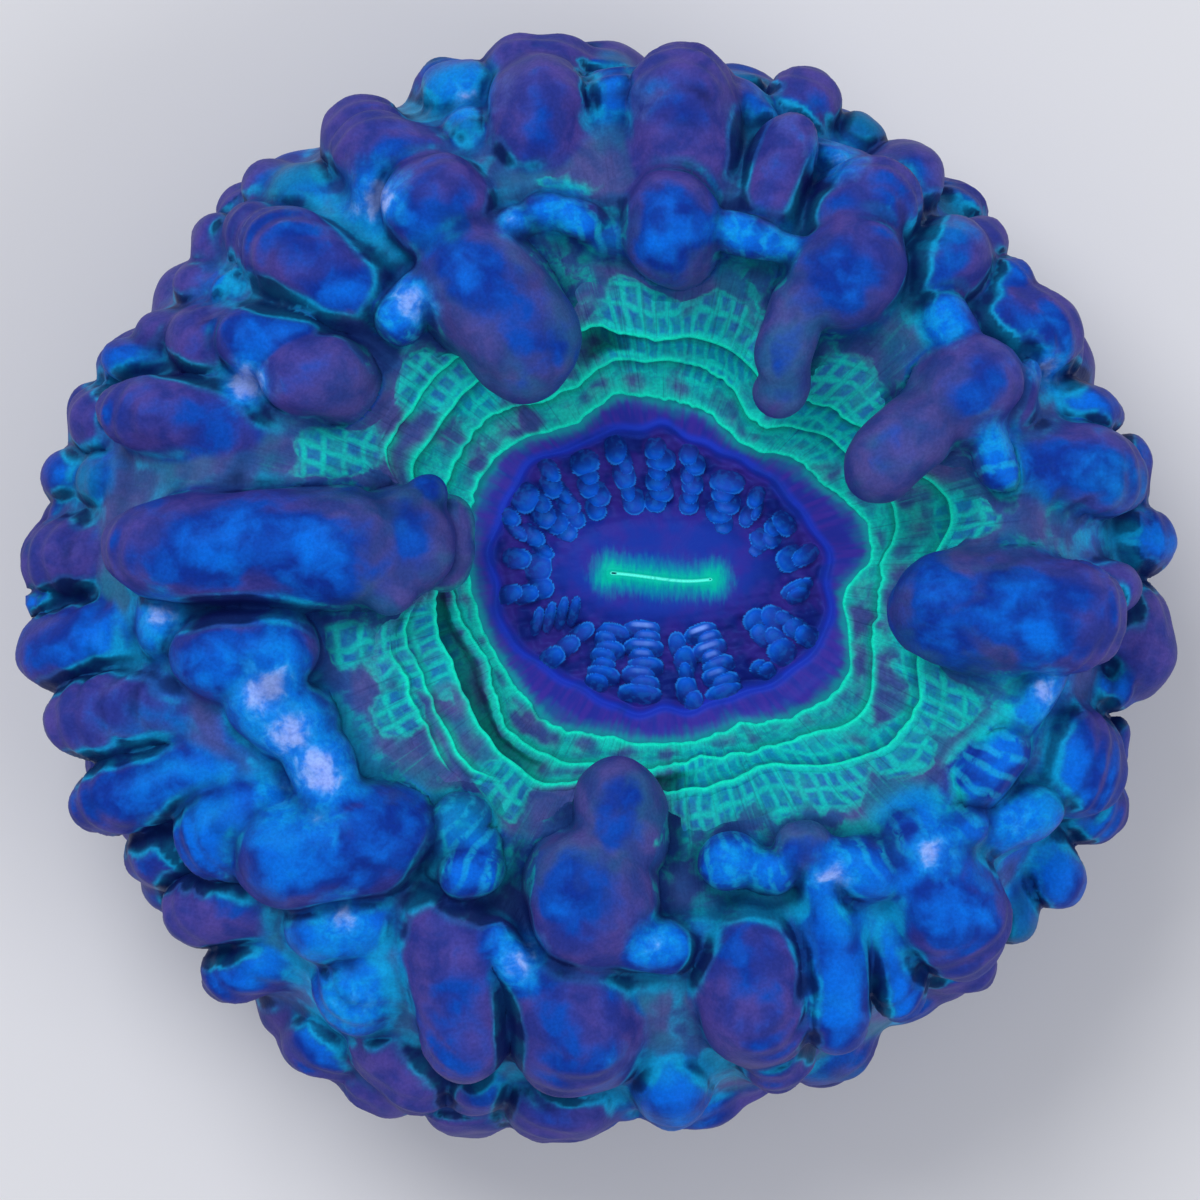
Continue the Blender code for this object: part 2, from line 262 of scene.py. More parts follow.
# A material in the making. Its colour is laid on in layers, and a colour is a wire or red, green and blue
# from 0 to 255.
class Paint:
    def __init__(self, name, **constants):
        self.material = bpy.data.materials.new(name)
        self.material.use_nodes = True
        self.tree = self.material.node_tree
        self.shader = self.tree.nodes["Principled BSDF"]
        self.shader.inputs["Specular IOR Level"].default_value = 0.25
        self.shader.inputs["Specular Tint"].default_value = tone(90, 150, 255)
        for socket, value in constants.items():
            self.shader.inputs[socket.replace("_", " ")].default_value = value

    # Adds a node: its settings come first, then the values or links of its sockets.
    def add(self, kind, settings, inputs, output=0):
        node = self.tree.nodes.new(kind)
        for name, value in settings.items():
            setattr(node, name, value)
        for key, value in inputs.items():
            self.feed(node.inputs[key], value)
        return Wire(self, node.outputs[output])

    def feed(self, socket, value):
        if isinstance(value, Wire):
            self.tree.links.new(value.socket, socket)
        else:
            socket.default_value = tone(*value) if socket.type == "RGBA" else value

    def finish(self, normal, *colourSockets):
        for name in colourSockets:
            self.feed(self.shader.inputs[name], self.colour)
        self.feed(self.shader.inputs["Normal"], normal)
        return self.material

    def field(self, name):
        return self.add("ShaderNodeAttribute", {"attribute_name": name}, {}, "Fac")

    def fields(self, *names):
        return [self.field(name) for name in names]

    # Object coordinates in millimetres from this point of the floor.
    def place(self, x=0.0, y=0.0):
        spot = self.add("ShaderNodeTexCoord", {}, {}, "Object")
        scaled = self.add("ShaderNodeVectorMath", {"operation": "SCALE"}, {0: spot, "Scale": 1.0 / mm})
        return self.add("ShaderNodeVectorMath", {"operation": "SUBTRACT"}, {0: scaled, 1: (x, y, 0.0)})

    def split(self, vector):
        first = self.add("ShaderNodeSeparateXYZ", {}, {0: vector})
        return [Wire(self, first.socket.node.outputs[axis]) for axis in range(3)]

    def joined(self, x, y, z):
        return self.add("ShaderNodeCombineXYZ", {}, {0: x, 1: y, 2: z})

    def noise(self, vector, size, detail=2.0, rough=0.5, distort=0.0):
        inputs = {"Vector": vector, "Scale": 1.0 / size, "Detail": detail, "Roughness": rough,
                  "Distortion": distort}
        return self.add("ShaderNodeTexNoise", {}, inputs, "Fac")

    def blend(self, share, first, second):
        settings = {"data_type": "RGBA", "blend_type": "MIX", "clamp_factor": True}
        return self.add("ShaderNodeMix", settings, {0: share, 6: first, 7: second}, 2)

    # Lays this colour over what is there, as far as the share says.
    def lay(self, share, colour):
        self.colour = self.blend(share, self.colour, colour)

    def bump(self, height, strength, distance):
        inputs = {"Height": height, "Strength": strength, "Distance": distance}
        return self.add("ShaderNodeBump", {}, inputs, "Normal")

    # Streaks that run straight out from the mouth: fine round the circle and long along the way out.
    def streaks(self, fineness, length):
        x, y, _ = self.split(self.place(mouth[0], mouth[1]))
        away = (x * x + y * y) ** 0.5
        ahead = away.larger(0.3)
        vector = self.joined(x / ahead * fineness, y / ahead * fineness, away / length)
        return self.noise(vector, 1.0)

    # Wavering ladder rungs that run straight out from the mouth, this many round the circle.
    def rungs(self, count, waver):
        x, y, _ = self.split(self.place(mouth[0], mouth[1]))
        phase = y.maths("ARCTAN2", x) * count + self.noise(self.place(), 5.0) * waver
        return phase.sine() * 0.5 + 0.5


# The swollen ridges: their bulges from the inner end outwards.
# x, y, half length, half width and heading in degrees, then the tint: m mottled, p purple, b blue,
# c cyan, w glowing pale, t teal.
ridgeBulges = {
    "west": [(-11, 3.5, 3, 1.9, 90, "m"), (-12.8, 6.4, 1.9, 1.4, 60, "b"), (-14, 3.5, 3.4, 3, 90, "m"),
        (-15.8, 0.4, 2.3, 1.7, -30, "p"), (-24.5, 3, 9.5, 3.7, 0, "b"),
        (-38, 2.5, 4.2, 2.8, 0, "p")],
    "west rim": [(-35.5, 8, 2.5, 1.6, 0, "t"), (-38.5, 8.5, 2.5, 1.8, 10, "b"),
        (-39, 5.5, 1.6, 1, 0, "c")],
    "west north west": [(-30, 12.5, 5.5, 2.6, -5, "m"), (-36.5, 12.5, 2.4, 2.4, 0, "p"),
        (-37.8, 12.5, 2.2, 1.2, 90, "p")],
    "small north west": [(-32.5, 16.5, 3.4, 1.5, -5, "c"), (-35.3, 16.4, 1.4, 1.4, 0, "p")],
    "north west": [(-20.4, 15.3, 3.4, 2.7, 0, "m"), (-23.6, 17.8, 3.6, 2.4, -10, "b"),
        (-28, 18.2, 2.9, 2.5, 0, "p"), (-31.8, 18.5, 2, 2, 0, "p")],
    "pearls": [(-29.6, 22.2, 1.5, 1.4, 0, "p"), (-27, 22, 1.4, 1.2, 0, "c")],
    "long north west": [(-20.6, 23.1, 5.2, 3.1, -30, "m"), (-24.6, 25.6, 2.6, 2.4, -30, "p"),
        (-28, 25.6, 2, 1.5, 90, "p")],
    "upper north west": [(-21.4, 28.6, 2.8, 2.3, -10, "t"), (-24.4, 29.4, 1.8, 1.8, 0, "p")],
    "great north": [(-7.4, 20.2, 6.2, 4, -55, "m"), (-11.6, 27.3, 3.6, 3.6, -50, "b"),
        (-15, 31.3, 4, 2.6, -15, "m"), (-17.1, 33, 3, 2.8, 90, "p")],
    "north crest": [(-16.6, 28.3, 2.8, 1.3, 100, "w"), (-13.7, 20.6, 2.5, 1.5, 50, "w")],
    "north knobs": [(-10.2, 36.4, 2.3, 2, 0, "w"), (-9.2, 32.7, 2.3, 1.6, -60, "t"),
        (-11.6, 37.4, 1.5, 1.5, 0, "t")],
    "north": [(-4.4, 34.2, 4.1, 3.4, 90, "p"), (-4.5, 38, 3.4, 2.5, 0, "p"),
        (0.4, 37.7, 1.8, 1.5, 0, "t")],
    "north chain": [(-6.5, 26.3, 1.3, 1, 20, "w"), (-4, 27.3, 1.3, 1, 0, "c"),
        (-1.5, 26.8, 1.4, 1.1, -20, "c"), (0.9, 25.5, 1.3, 1, -20, "t")],
    "upright north": [(5.1, 26, 3.6, 3, 90, "b"), (6, 33.5, 5.6, 3.6, 88, "p")],
    "north pockets": [(1.1, 35.6, 2.2, 2.2, 0, "c"), (10.7, 35, 2, 1.3, -40, "c")],
    "slim north east": [(13, 30, 4, 2, 75, "p")],
    "outer north east": [(14.8, 35.3, 2.8, 2.5, 70, "p"), (10.3, 37, 1.5, 0.9, 0, "t"),
        (18.8, 33.3, 1.6, 1.5, -45, "t")],
    "crescent": [(17.3, 31.3, 2.4, 1, -15, "w")],
    "north east": [(13.1, 14.8, 1.9, 1.7, 60, "p"), (13.8, 18.7, 3.6, 1.9, 70, "p"),
        (17.8, 23, 3.9, 3.6, 45, "b"), (19.1, 27.3, 4, 3.4, 40, "m"), (22, 29.8, 2.8, 2.6, 40, "m")],
    "north east chain": [(9.5, 25.7, 1.3, 1.1, -10, "c"), (11.6, 25.2, 1.3, 1.1, -10, "c"),
        (13.7, 24.6, 1.2, 1, -10, "c")],
    "east north east": [(25.1, 23.8, 3.2, 2.8, 35, "p"), (27.7, 25.4, 1.9, 1.7, 35, "p"),
        (28.9, 22, 2.3, 1.5, 35, "c")],
    "long east": [(31, 18.9, 3.8, 2.8, -20, "m"), (34, 18, 1.7, 1, 90, "b"),
        (25.3, 19.3, 2, 1.5, 120, "c")],
    "inner east": [(21.5, 10.2, 4, 2.6, 42, "p"), (26.5, 14.4, 3.6, 3.1, 40, "m"),
        (30.5, 14.4, 2, 1.2, 80, "p"), (28, 10.9, 2.8, 1, 105, "c")],
    "east knobs": [(35.3, 13.2, 2.6, 1.7, -15, "c"), (36.9, 12.7, 1.5, 1.2, 0, "b")],
    "east": [(34.5, 8.7, 4.7, 3, -10, "m"), (38.9, 8.4, 2.6, 1.5, 90, "b")],
    "east pearl": [(39.3, 3.6, 2.8, 2.5, 0, "c")],
    "great east": [(29.4, -1.6, 7.4, 3.9, -5, "b"), (38.9, -3.6, 3.8, 3, 100, "p"),
        (36, 0, 2.9, 1.9, 10, "p")],
    "south east strip": [(31.6, -7.8, 2.8, 1, 60, "w"), (37.4, -7.3, 1.6, 1.3, 0, "c")],
    "south east": [(34.5, -12.7, 3.6, 3.3, 100, "b"), (35.8, -15.9, 2.8, 2.6, -30, "b"),
        (38, -11.4, 1.6, 0.9, 90, "b")],
    "south east crest": [(29.8, -16.6, 3.3, 1.9, 20, "w"), (28.7, -12.7, 2.5, 1.5, 45, "c")],
    "lower south east": [(32.9, -20.2, 3, 2, -60, "c"), (29.8, -22.9, 2.9, 1.7, -70, "t")],
    "south south east": [(24.5, -21.8, 5.8, 3.9, -65, "b"), (26.3, -27.3, 2.5, 2, 0, "p")],
    "south ribbon": [(9.4, -19.4, 1.9, 1.9, 12, "c"), (12.3, -20.3, 1.7, 1.5, -15, "c"),
        (14.4, -18.5, 1.6, 1.4, 0, "p"), (16.6, -19.6, 1.4, 1.1, 20, "w"),
        (19.3, -20.3, 2.1, 2.1, 0, "c"), (22.7, -18.9, 2, 1.5, 15, "c"),
        (25.9, -17.6, 1.9, 1.3, 20, "w"), (16.2, -22.5, 3, 1.2, -70, "w")],
    "south finger": [(21.3, -26.5, 4.1, 2, -80, "c")],
    "second south finger": [(16.6, -26.9, 5.8, 2.4, -85, "c")],
    "south": [(11, -28.7, 5.2, 3.8, -80, "m"), (12.8, -33.6, 2.8, 2.5, -70, "p")],
    "south ties": [(3.6, -25.7, 3, 1.7, 0, "c"), (6.6, -24.9, 1.6, 1.2, 30, "t")],
    "south knobs": [(5.2, -36.1, 2.9, 2.7, -85, "c"), (1.1, -36.9, 1.9, 1.6, 0, "t")],
    "great south": [(1.5, -16.4, 3.6, 3, -90, "m"), (-0.7, -22.5, 4.5, 4.2, -80, "m"),
        (-2, -30.5, 5.5, 4.5, -80, "m"), (-3, -37.4, 3.5, 2.8, 0, "p")],
    "long south west": [(-10.4, -28.7, 6.2, 3, -80, "m"), (-9.9, -16.4, 1.5, 1.2, 20, "t"),
        (-9.6, -18.3, 1.8, 1.3, -25, "t"), (-11.2, -19.4, 1.5, 1, 60, "t"), (-9.3, -20.6, 2, 1.6, 10, "c"),
        (-6.5, -26.2, 2.6, 1.3, -50, "w")],
    "rim south west": [(-14.5, -34.5, 3.6, 2.5, -40, "p"), (-15.8, -36, 2.8, 2.2, -30, "p")],
    "rim south": [(-8.9, -36.2, 2, 2, 0, "b"), (-9.8, -37.9, 2.9, 2.2, 0, "p")],
    "round south west": [(-17.6, -29, 3.1, 2.9, 60, "c"), (-20.2, -33.4, 3, 2.3, -10, "b")],
    "low south west": [(-18.9, -24.2, 3.5, 2.3, 10, "c"), (-24.9, -27.3, 4, 2.2, 20, "b")],
    "first west finger": [(-19.3, -18.4, 6, 3.8, 10, "b"), (-26.8, -22.8, 4.6, 2.5, 15, "p")],
    "second west finger": [(-26.2, -16.9, 4.2, 3, 25, "c"), (-31.5, -19, 3, 2.5, 20, "p")],
    "third west finger": [(-20, -13.5, 3.4, 2.2, 110, "w"), (-30.5, -13.8, 7.6, 2.5, 15, "b")],
    "fourth west finger": [(-23, -8.6, 3.6, 2.8, -40, "w"), (-33, -8.4, 6.9, 2.8, 14, "p")],
    "fifth west finger": [(-25.6, -4.7, 4.5, 3, 0, "b"), (-36, -4, 6, 2.8, 8, "b"),
        (-31.6, -2.5, 2.2, 1.7, 90, "w")],
    "west crease": [(-38.2, -0.7, 3.3, 1, 5, "c")],
}

# How blue, how pale and how teal each tint is, from 0, purple, to 1.
tints = {
    "m": (0.42, 0.0, 0.0),
    "p": (0.15, 0.0, 0.0),
    "b": (0.66, 0.0, 0.0),
    "c": (1.0, 0.35, 0.1),
    "w": (1.0, 1.0, 0.05),
    "t": (0.85, 0.1, 0.75),
}

swelling = {
    "voxel": 0.4,
    "passes": 5,  # how often the fused skin is eased and drawn onto the smooth field
    "longestMove": 0.4,
    "longer": 1.17,  # the bulges are drawn longer and wider than their marks, so that they press together
    "wider": 1.07,
    "crease": 0.28,  # how softly two bulges meet
    "fullWidth": 3.6,  # half width of a bulge whose top reaches the ridge's; a slimmer one stays lower
    "tealSink": 2.2,  # how much lower still the teal ones stay
    "tallness": 1.15,  # half height of a bulge, as a share of its half width
    "rimDroop": 0.9,  # how much more that is at the rim
    "droopBand": (0.72, 0.28),  # from which share of the way out, and over how much of it, the ends droop
    "lumps": (0.24, 6.0),  # height and size of the unevenness
    "dimples": (0.06, 2.3),
    "rolls": (0.13, 1.9, 31.0),  # height and spacing of the folds near the rim, and where they start
}

# Pale glowing spots of the crest: x, y, radius, and how white the middle is.
glowSpots = [
    (-16.4, 28.4, 3.0, 0.9), (-13.7, 20.6, 2.5, 0.9), (-25.4, 14.9, 2.3, 1.0), (-31.6, -1.8, 2.2, 0.8),
    (-24.0, -7.3, 3.2, 1.0), (-20.0, -13.1, 3.2, 1.0), (-22.9, -14.5, 2.5, 0.6), (-18.5, -23.6, 2.4, 0.7),
    (-17.5, -29.8, 2.6, 0.7), (-22.2, -10.0, 3.0, 0.9), (-20.2, -16.4, 2.2, 0.6), (-6.2, 26.5, 1.6, 0.8),
    (-2.9, 27.3, 2.2, 0.3), (-9.8, 36.0, 2.4, 0.6),
    (9.8, 25.8, 1.8, 0.3), (12.7, 25.1, 1.8, 0.3), (17.1, 31.3, 2.4, 0.7), (24.7, 19.3, 2.0, 0.3),
    (32.4, 16.0, 1.8, 0.8), (28.4, 10.9, 2.0, 0.4), (32.0, -7.3, 2.2, 0.9), (30.2, -16.7, 2.6, 0.6),
    (24.0, -18.9, 2.2, 0.9), (16.7, -20.4, 2.4, 0.9), (10.2, -19.6, 2.4, 0.3), (4.0, -25.4, 2.2, 0.6),
    (-5.8, -26.5, 2.6, 0.8),
]

# Broad stretches of the crest where blue and cyan win over purple: x, y and radius.
azureSpots = [
    (-31.0, -12.0, 10.0), (-21.0, -15.0, 8.0), (-24.0, -2.0, 6.0), (-20.0, -28.0, 7.0), (-36.5, 9.0, 4.0),
    (-9.5, 36.5, 5.0), (-16.5, 27.0, 5.0), (-23.0, 29.0, 4.0), (2.0, 36.0, 4.0), (12.0, 34.0, 4.5),
    (24.0, 27.5, 5.0), (31.0, 17.0, 4.5), (37.0, 6.0, 7.0), (32.0, -8.0, 5.5), (30.0, -18.0, 8.0),
    (18.0, -23.0, 8.0), (11.0, -19.5, 5.0), (4.0, -36.0, 5.0), (-35.5, 16.5, 4.0), (-28.0, 22.0, 3.0),
]

# Rows of bulges down the side: how many, distance from the axis, height of the middle, half width
# and half height.
sideRows = [(40, 37.2, 16.0, 2.9, 4.6), (44, 35.6, 10.4, 2.6, 4.0), (40, 32.4, 6.4, 2.4, 2.6)]
sideThickness = 2.6

# The plain body that the ridges swell from: distance from the axis and height, from the middle outwards
# and down round the side.
body = {
    "profile": [
        (0.0, 29.8), (23.9, 29.9), (26.2, 30.5), (28.5, 30.5), (30.0, 30.1), (31.6, 29.2), (33.1, 28.0),
        (34.6, 26.5), (36.2, 24.5), (37.2, 22.3), (37.9, 19.8), (38.5, 16.8), (38.4, 13.6), (37.7, 11.0),
        (37.0, 9.5), (35.0, 7.3), (32.3, 5.7), (29.3, 5.0), (26.2, 4.7), (18.0, 5.5), (0.0, 5.5)],
    "columns": 360,
    "soft": (1.2, 0.5),  # how softly the ridges rise from it, beside the ledges and towards the rim
    "wall": 0.2,  # its inner wall, from the last ledge's lip
    "under": 0.3,  # how far it stays under the ledges' own sheet
    "shoulder": (22.5, 29.3),  # where the slope outside the ledges ends: distance from the mouth, and height
    "waves": [(0.17, 2.6, 3.0), (0.3, 9.0, 4.0)],  # height, size and seed of its unevenness
    "parting": 19.0,  # the flesh is two pieces, which meet at this height
    "buried": -1.6,  # what lies deeper than this was sealed in by the fusing
    "core": (23.0, 12.0),  # nobody sees the flesh within this radius and under this height
    "pocket": (1.0, 2.5),  # nor this far out from the last lip and this far below the slope
}


# Share of the way from the mouth to the rim, along the line through this point.
def wayOut(x, y):
    away = np.array([x, y]) - mouth
    distance = float(np.hypot(*away))
    if distance < 1e-6:
        return 0.0
    along = float(mouth @ away) / distance
    outer = coral["rimRadius"]
    return distance / (-along + math.sqrt(along * along + outer * outer - float(mouth @ mouth)))


# Height of a full-width ridge there: a level crest that rounds over the rim.
def ridgeTop(share):
    start, end = coral["crestBand"]
    if share < start:
        return coral["crestHeight"] - coral["innerFall"] * ((start - share) / 0.2) ** 2
    over = min(max(share - end, 0.0) / (1.0 - end), 0.998)
    return coral["crestHeight"] - coral["rimFall"] * (1.0 - math.sqrt(1.0 - over * over))


# Each bulge as its middle, half sizes, heading and tint. The ends of the ridges droop over the rim.
def listRidgeBulges():
    droopStart, droopLength = swelling["droopBand"]
    listed = []
    for bulges in ridgeBulges.values():
        for x, y, long, wide, heading, tint in bulges:
            share = wayOut(x, y)
            top = ridgeTop(share) - max(swelling["fullWidth"] - wide, 0.0)
            top -= swelling["tealSink"] * tints[tint][2]
            droop = min(max((share - droopStart) / droopLength, 0.0), 1.0)
            tall = wide * (swelling["tallness"] + swelling["rimDroop"] * droop)
            halves = (long * swelling["longer"], wide * swelling["wider"], tall)
            turn = math.radians(heading)
            outward = (x * math.cos(turn) + y * math.sin(turn)) / math.hypot(x, y)
            back = outward * (halves[0] - long) * droop
            place = (x - back * math.cos(turn), y - back * math.sin(turn), top - tall)
            listed.append((place, halves, heading, tints[tint]))
    return listed


def listSideBulges():
    listed = []
    for row, (count, distance, middle, halfWidth, halfHeight) in enumerate(sideRows):
        for step in range(count):
            turn = 2.0 * math.pi * (step + 0.5 * row + 0.22 * math.sin(4.1 * step)) / count
            out = distance + 0.7 * math.sin(2.7 * step + row)
            wide = halfWidth * (1.0 + 0.16 * math.sin(3.3 * step + 2.0 * row))
            height = middle + 0.8 * math.sin(5.3 * step)
            place = (out * math.cos(turn), out * math.sin(turn), height)
            blue = 0.5 + 0.5 * math.sin(1.9 * step + 2.3 * row)
            tint = (blue, 0.3 * max(math.sin(2.9 * step), 0.0), 0.3 + 0.25 * row)
            listed.append((place, (sideThickness, wide, halfHeight), math.degrees(turn), tint))
    return listed


# Distance from each place to a bulge: a ball with a straight stretch put in along it and upwards.
def toBulge(places, centre, halves, heading):
    long, wide, tall = halves
    turn = math.radians(heading)
    away = places - np.array(centre)
    along = away[:, 0] * math.cos(turn) + away[:, 1] * math.sin(turn)
    across = away[:, 1] * math.cos(turn) - away[:, 0] * math.sin(turn)
    stretch = 0.75
    straight = stretch * max(long - wide, 0.0)
    upright = stretch * max(tall - wide, 0.0)
    along = along - np.clip(along, -straight, straight)
    height = away[:, 2] - np.clip(away[:, 2], -upright, upright)
    radii = (long - straight, wide, tall - upright)
    parts = (along / radii[0], across / radii[1], height / radii[2])
    span = np.sqrt(sum(part * part for part in parts)) + 1e-9
    slope = np.sqrt(sum((part / radius) ** 2 for part, radius in zip(parts, radii))) + 1e-9
    return span * (span - 1.0) / slope


# The fused bulges at each place: distance and tints.
def bulgeField(places, bulges):
    soft = swelling["crease"]
    tintSoft = 0.6
    margin = 3.5
    total = np.full(len(places), 1e-30)
    weights = np.zeros(len(places)) + 1e-12
    tintSums = np.zeros((len(places), 3))
    for centre, halves, heading, tint in bulges:
        reach = max(halves) + margin
        near = np.flatnonzero(np.all(np.abs(places - np.array(centre)) < reach, axis=1))
        if not len(near):
            continue
        distance = np.clip(toBulge(places[near], centre, halves, heading), -6.0, 9.0)
        total[near] += np.exp(-distance / soft)
        weight = np.exp(-distance / tintSoft)
        weights[near] += weight
        tintSums[near] += weight[:, None] * np.array(tint)
    lump, lumpSize = swelling["lumps"]
    dimple, dimpleSize = swelling["dimples"]
    uneven = lump * wander(places, lumpSize, 1.0) + dimple * wander(places, dimpleSize, 2.0)
    return uneven - soft * np.log(total) + rimRolls(places), tintSums / weights[:, None]


# Folds that lie like shingles over the ends of the ridges.
def rimRolls(places):
    height, spacing, start = swelling["rolls"]
    out = np.hypot(places[:, 0], places[:, 1])
    path = 0.8 * (out - places[:, 2]) + 0.5 * wander(places, 8.0, 4.0)
    strength = softStep(out, start, start + 4.0) * softStep(wander(places, 9.0, 7.0), -0.5, 0.4)
    return height * strength * np.sin(2.0 * math.pi * path / spacing)


# The waves of the plain body and of the ledges.
def bodyWaves(x, y):
    flat = flatPlaces(x, y)
    return sum(lift * wander(flat, size, seed) for lift, size, seed in body["waves"])


# Height of the slope outside the third ledge, whose lip is this far from the mouth.
def slopeTop(distance, lip):
    leastShoulder, shoulderHeight = body["shoulder"]
    shoulder = np.maximum(lip + 3.5, leastShoulder)
    share = (distance - lip - 0.7) / (shoulder - lip - 0.7)
    low = ledges[2]["height"]
    beyond = 0.35 * np.maximum(distance - shoulder, 0.0)
    return low + (shoulderHeight - low) * np.clip(share, 0.0, 1.0) + beyond


def fromMouth(x, y):
    away = np.hypot(x - mouth[0], y - mouth[1])
    bearings = np.degrees(np.arctan2(y - mouth[1], x - mouth[0])) % 360.0
    return away, bearings


# The plain body at each place: distance from its turned profile, its slope and its inner wall.
def bodyField(places):
    x, y, _ = places.T
    z = places[:, 2] - bodyWaves(x, y)
    out = np.hypot(x, y)
    nearest = np.full(len(places), 99.0)
    inside = np.zeros(len(places), bool)
    for (startOut, startUp), (endOut, endUp) in zip(body["profile"], body["profile"][1:]):
        stepOut = endOut - startOut
        stepUp = endUp - startUp
        along = ((out - startOut) * stepOut + (z - startUp) * stepUp) / (stepOut**2 + stepUp**2)
        along = np.clip(along, 0.0, 1.0)
        aside = np.hypot(out - startOut - along * stepOut, z - startUp - along * stepUp)
        nearest = np.minimum(nearest, aside)
        if stepUp:
            meets = startOut + (z - startUp) * stepOut / stepUp
            inside ^= ((startUp > z) != (endUp > z)) & (out < meets)
    turned = np.where(inside, -nearest, nearest)
    away, bearings = fromMouth(x, y)
    lip = lipAt(bearings, 2)
    last = away - lipAt(bearings, -1)
    sunk = body["under"] * (1.0 - softStep(last, 0.6, 2.6))
    slope = 0.95 * (z - slopeTop(away, lip) + sunk)
    return np.maximum(np.maximum(turned, slope), body["wall"] - last)


# How far out the lip of a ledge is at each bearing.
def lipAt(bearings, level):
    known = np.arange(0.0, 361.0)
    return np.interp(bearings, known, ledgeReaches(known)[level])


# The whole flesh: the bulges and the body run into each other. Also how much of each place is bulge.
def fleshField(places, bulges):
    bulge, tint = bulgeField(places, bulges)
    plain = bodyField(places)
    inward, outward = body["soft"]
    away, bearings = fromMouth(places[:, 0], places[:, 1])
    soft = inward + (outward - inward) * softStep(away - lipAt(bearings, 2), 5.0, 11.0)
    least = np.minimum(bulge, plain)
    bulgeShare = np.exp(-(bulge - least) / soft)
    plainShare = np.exp(-(plain - least) / soft)
    both = least - soft * np.log(bulgeShare + plainShare)
    return both, bulgeShare / (bulgeShare + plainShare), tint


# How hollow the flesh is: 0 where it is level or swells, towards 1 in a fold of this size.
def hollowness(places, normals, bulges, size):
    here = fleshField(places, bulges)[0]
    ahead = fleshField(places + normals * size, bulges)[0]
    return np.clip(1.0 - (ahead - here) / size, 0.0, 1.0)


# How near each place is to the nearest of these spots, or how white it is there.
def nearSpots(x, y, spots, white=False):
    nearest = np.zeros_like(x)
    for spotX, spotY, radius, *whiteAndHighlight in spots:
        near = np.exp(-((x - spotX) ** 2 + (y - spotY) ** 2) / radius**2)
        nearest = np.maximum(nearest, near**1.5 * whiteAndHighlight[0] if white else near)
    return nearest


def normalsOf(piece):
    flat = np.empty(len(piece.data.vertices) * 3, np.float32)
    piece.data.vertex_normals.foreach_get("vector", flat)
    return flat.reshape(-1, 3).astype(np.float64)


# A ball primitive's places drawn out to a bulge's shape.
def drawnBall(pattern, units, centre, halves, heading):
    ball = pattern.copy()
    ball.data = pattern.data.copy()
    bpy.context.scene.collection.objects.link(ball)
    long, wide, tall = halves
    turn = math.radians(heading)
    along = drawnOut(units[:, 0], long, min(long, wide))
    height = drawnOut(units[:, 2], tall, min(tall, wide))
    across = units[:, 1] * wide
    x = centre[0] + along * math.cos(turn) - across * math.sin(turn)
    y = centre[1] + along * math.sin(turn) + across * math.cos(turn)
    movePlaces(ball, np.stack([x, y, centre[2] + height], axis=-1))
    return ball


def drawnOut(unit, half, ball):
    return ball * unit + max(half - ball, 0.0) * np.tanh(2.2 * unit) / math.tanh(2.2)


# The plain body as a closed ring, from its inner wall over the top and round the side.
def makeBody():
    bearings, turns = roundOf(body["columns"])
    lip = lipAt(bearings % 360.0, 2)
    toMouth = mouth[0] * np.cos(turns) + mouth[1] * np.sin(turns)
    wall = lipAt(bearings % 360.0, -1) + body["wall"]
    distances = [wall]
    heights = [slopeTop(wall, lip)]
    for step, (out, up) in enumerate(body["profile"][1:-1]):
        reach = -toMouth + np.sqrt(toMouth**2 + out**2 - mouth @ mouth)
        reach = np.maximum(reach, wall + 0.15 * step) if up > 12.0 or out < 20.0 else reach
        distances.append(reach)
        heights.append(np.minimum(slopeTop(reach, lip), up))
    distances += [wall, wall]
    heights += [np.full_like(lip, body["profile"][-1][1]), heights[0]]
    distance = np.array(distances)
    height = np.array(heights)
    x = mouth[0] + distance * np.cos(turns)
    y = mouth[1] + distance * np.sin(turns)
    closeSeam(x, y)
    return rolledSheet("body", x, y, height, {})


# The body and the bulges, joined and fused into one skin.
def fuse(bulges):
    deselectAll()
    bpy.ops.mesh.primitive_ico_sphere_add(subdivisions=3, radius=1.0)
    pattern = bpy.context.object
    units = np.empty(len(pattern.data.vertices) * 3)
    pattern.data.vertices.foreach_get("co", units)
    units = units.reshape(-1, 3)
    parts = [drawnBall(pattern, units, centre, halves, heading) for centre, halves, heading, _ in bulges]
    bpy.data.objects.remove(pattern)
    parts.append(makeBody())
    deselectAll()
    for part in parts:
        part.select_set(True)
    bpy.context.view_layer.objects.active = parts[0]
    bpy.ops.object.join()
    piece = bpy.context.object
    applyModifier(piece, "REMESH", mode="VOXEL", voxel_size=swelling["voxel"] * mm)
    print("fused", len(piece.data.vertices))
    return piece


# Eases the skin and draws it onto the smooth field, so that no voxel steps are left.
def drawOntoField(piece, bulges):
    feeler = 0.05
    longest = swelling["longestMove"]
    for step in range(swelling["passes"]):
        if step < swelling["passes"] - 1:
            inEditMode(piece, lambda: bpy.ops.mesh.vertices_smooth(factor=0.4, repeat=1))
        places = placesOf(piece)
        normals = normalsOf(piece)
        here = fleshField(places, bulges)[0]
        ahead = fleshField(places + normals * feeler, bulges)[0]
        slope = np.clip((ahead - here) / feeler, 0.35, 2.0)
        movePlaces(piece, places - normals * np.clip(here / slope, -longest, longest)[:, None])


def makeFlesh():
    bulges = listRidgeBulges() + listSideBulges()
    piece = fuse(bulges)
    keepOutside(piece, bulges)
    drawOntoField(piece, bulges)
    settle(piece, bulges)
    nameFields(piece, bulges)
    smoothShade(piece)
    return parted(piece)


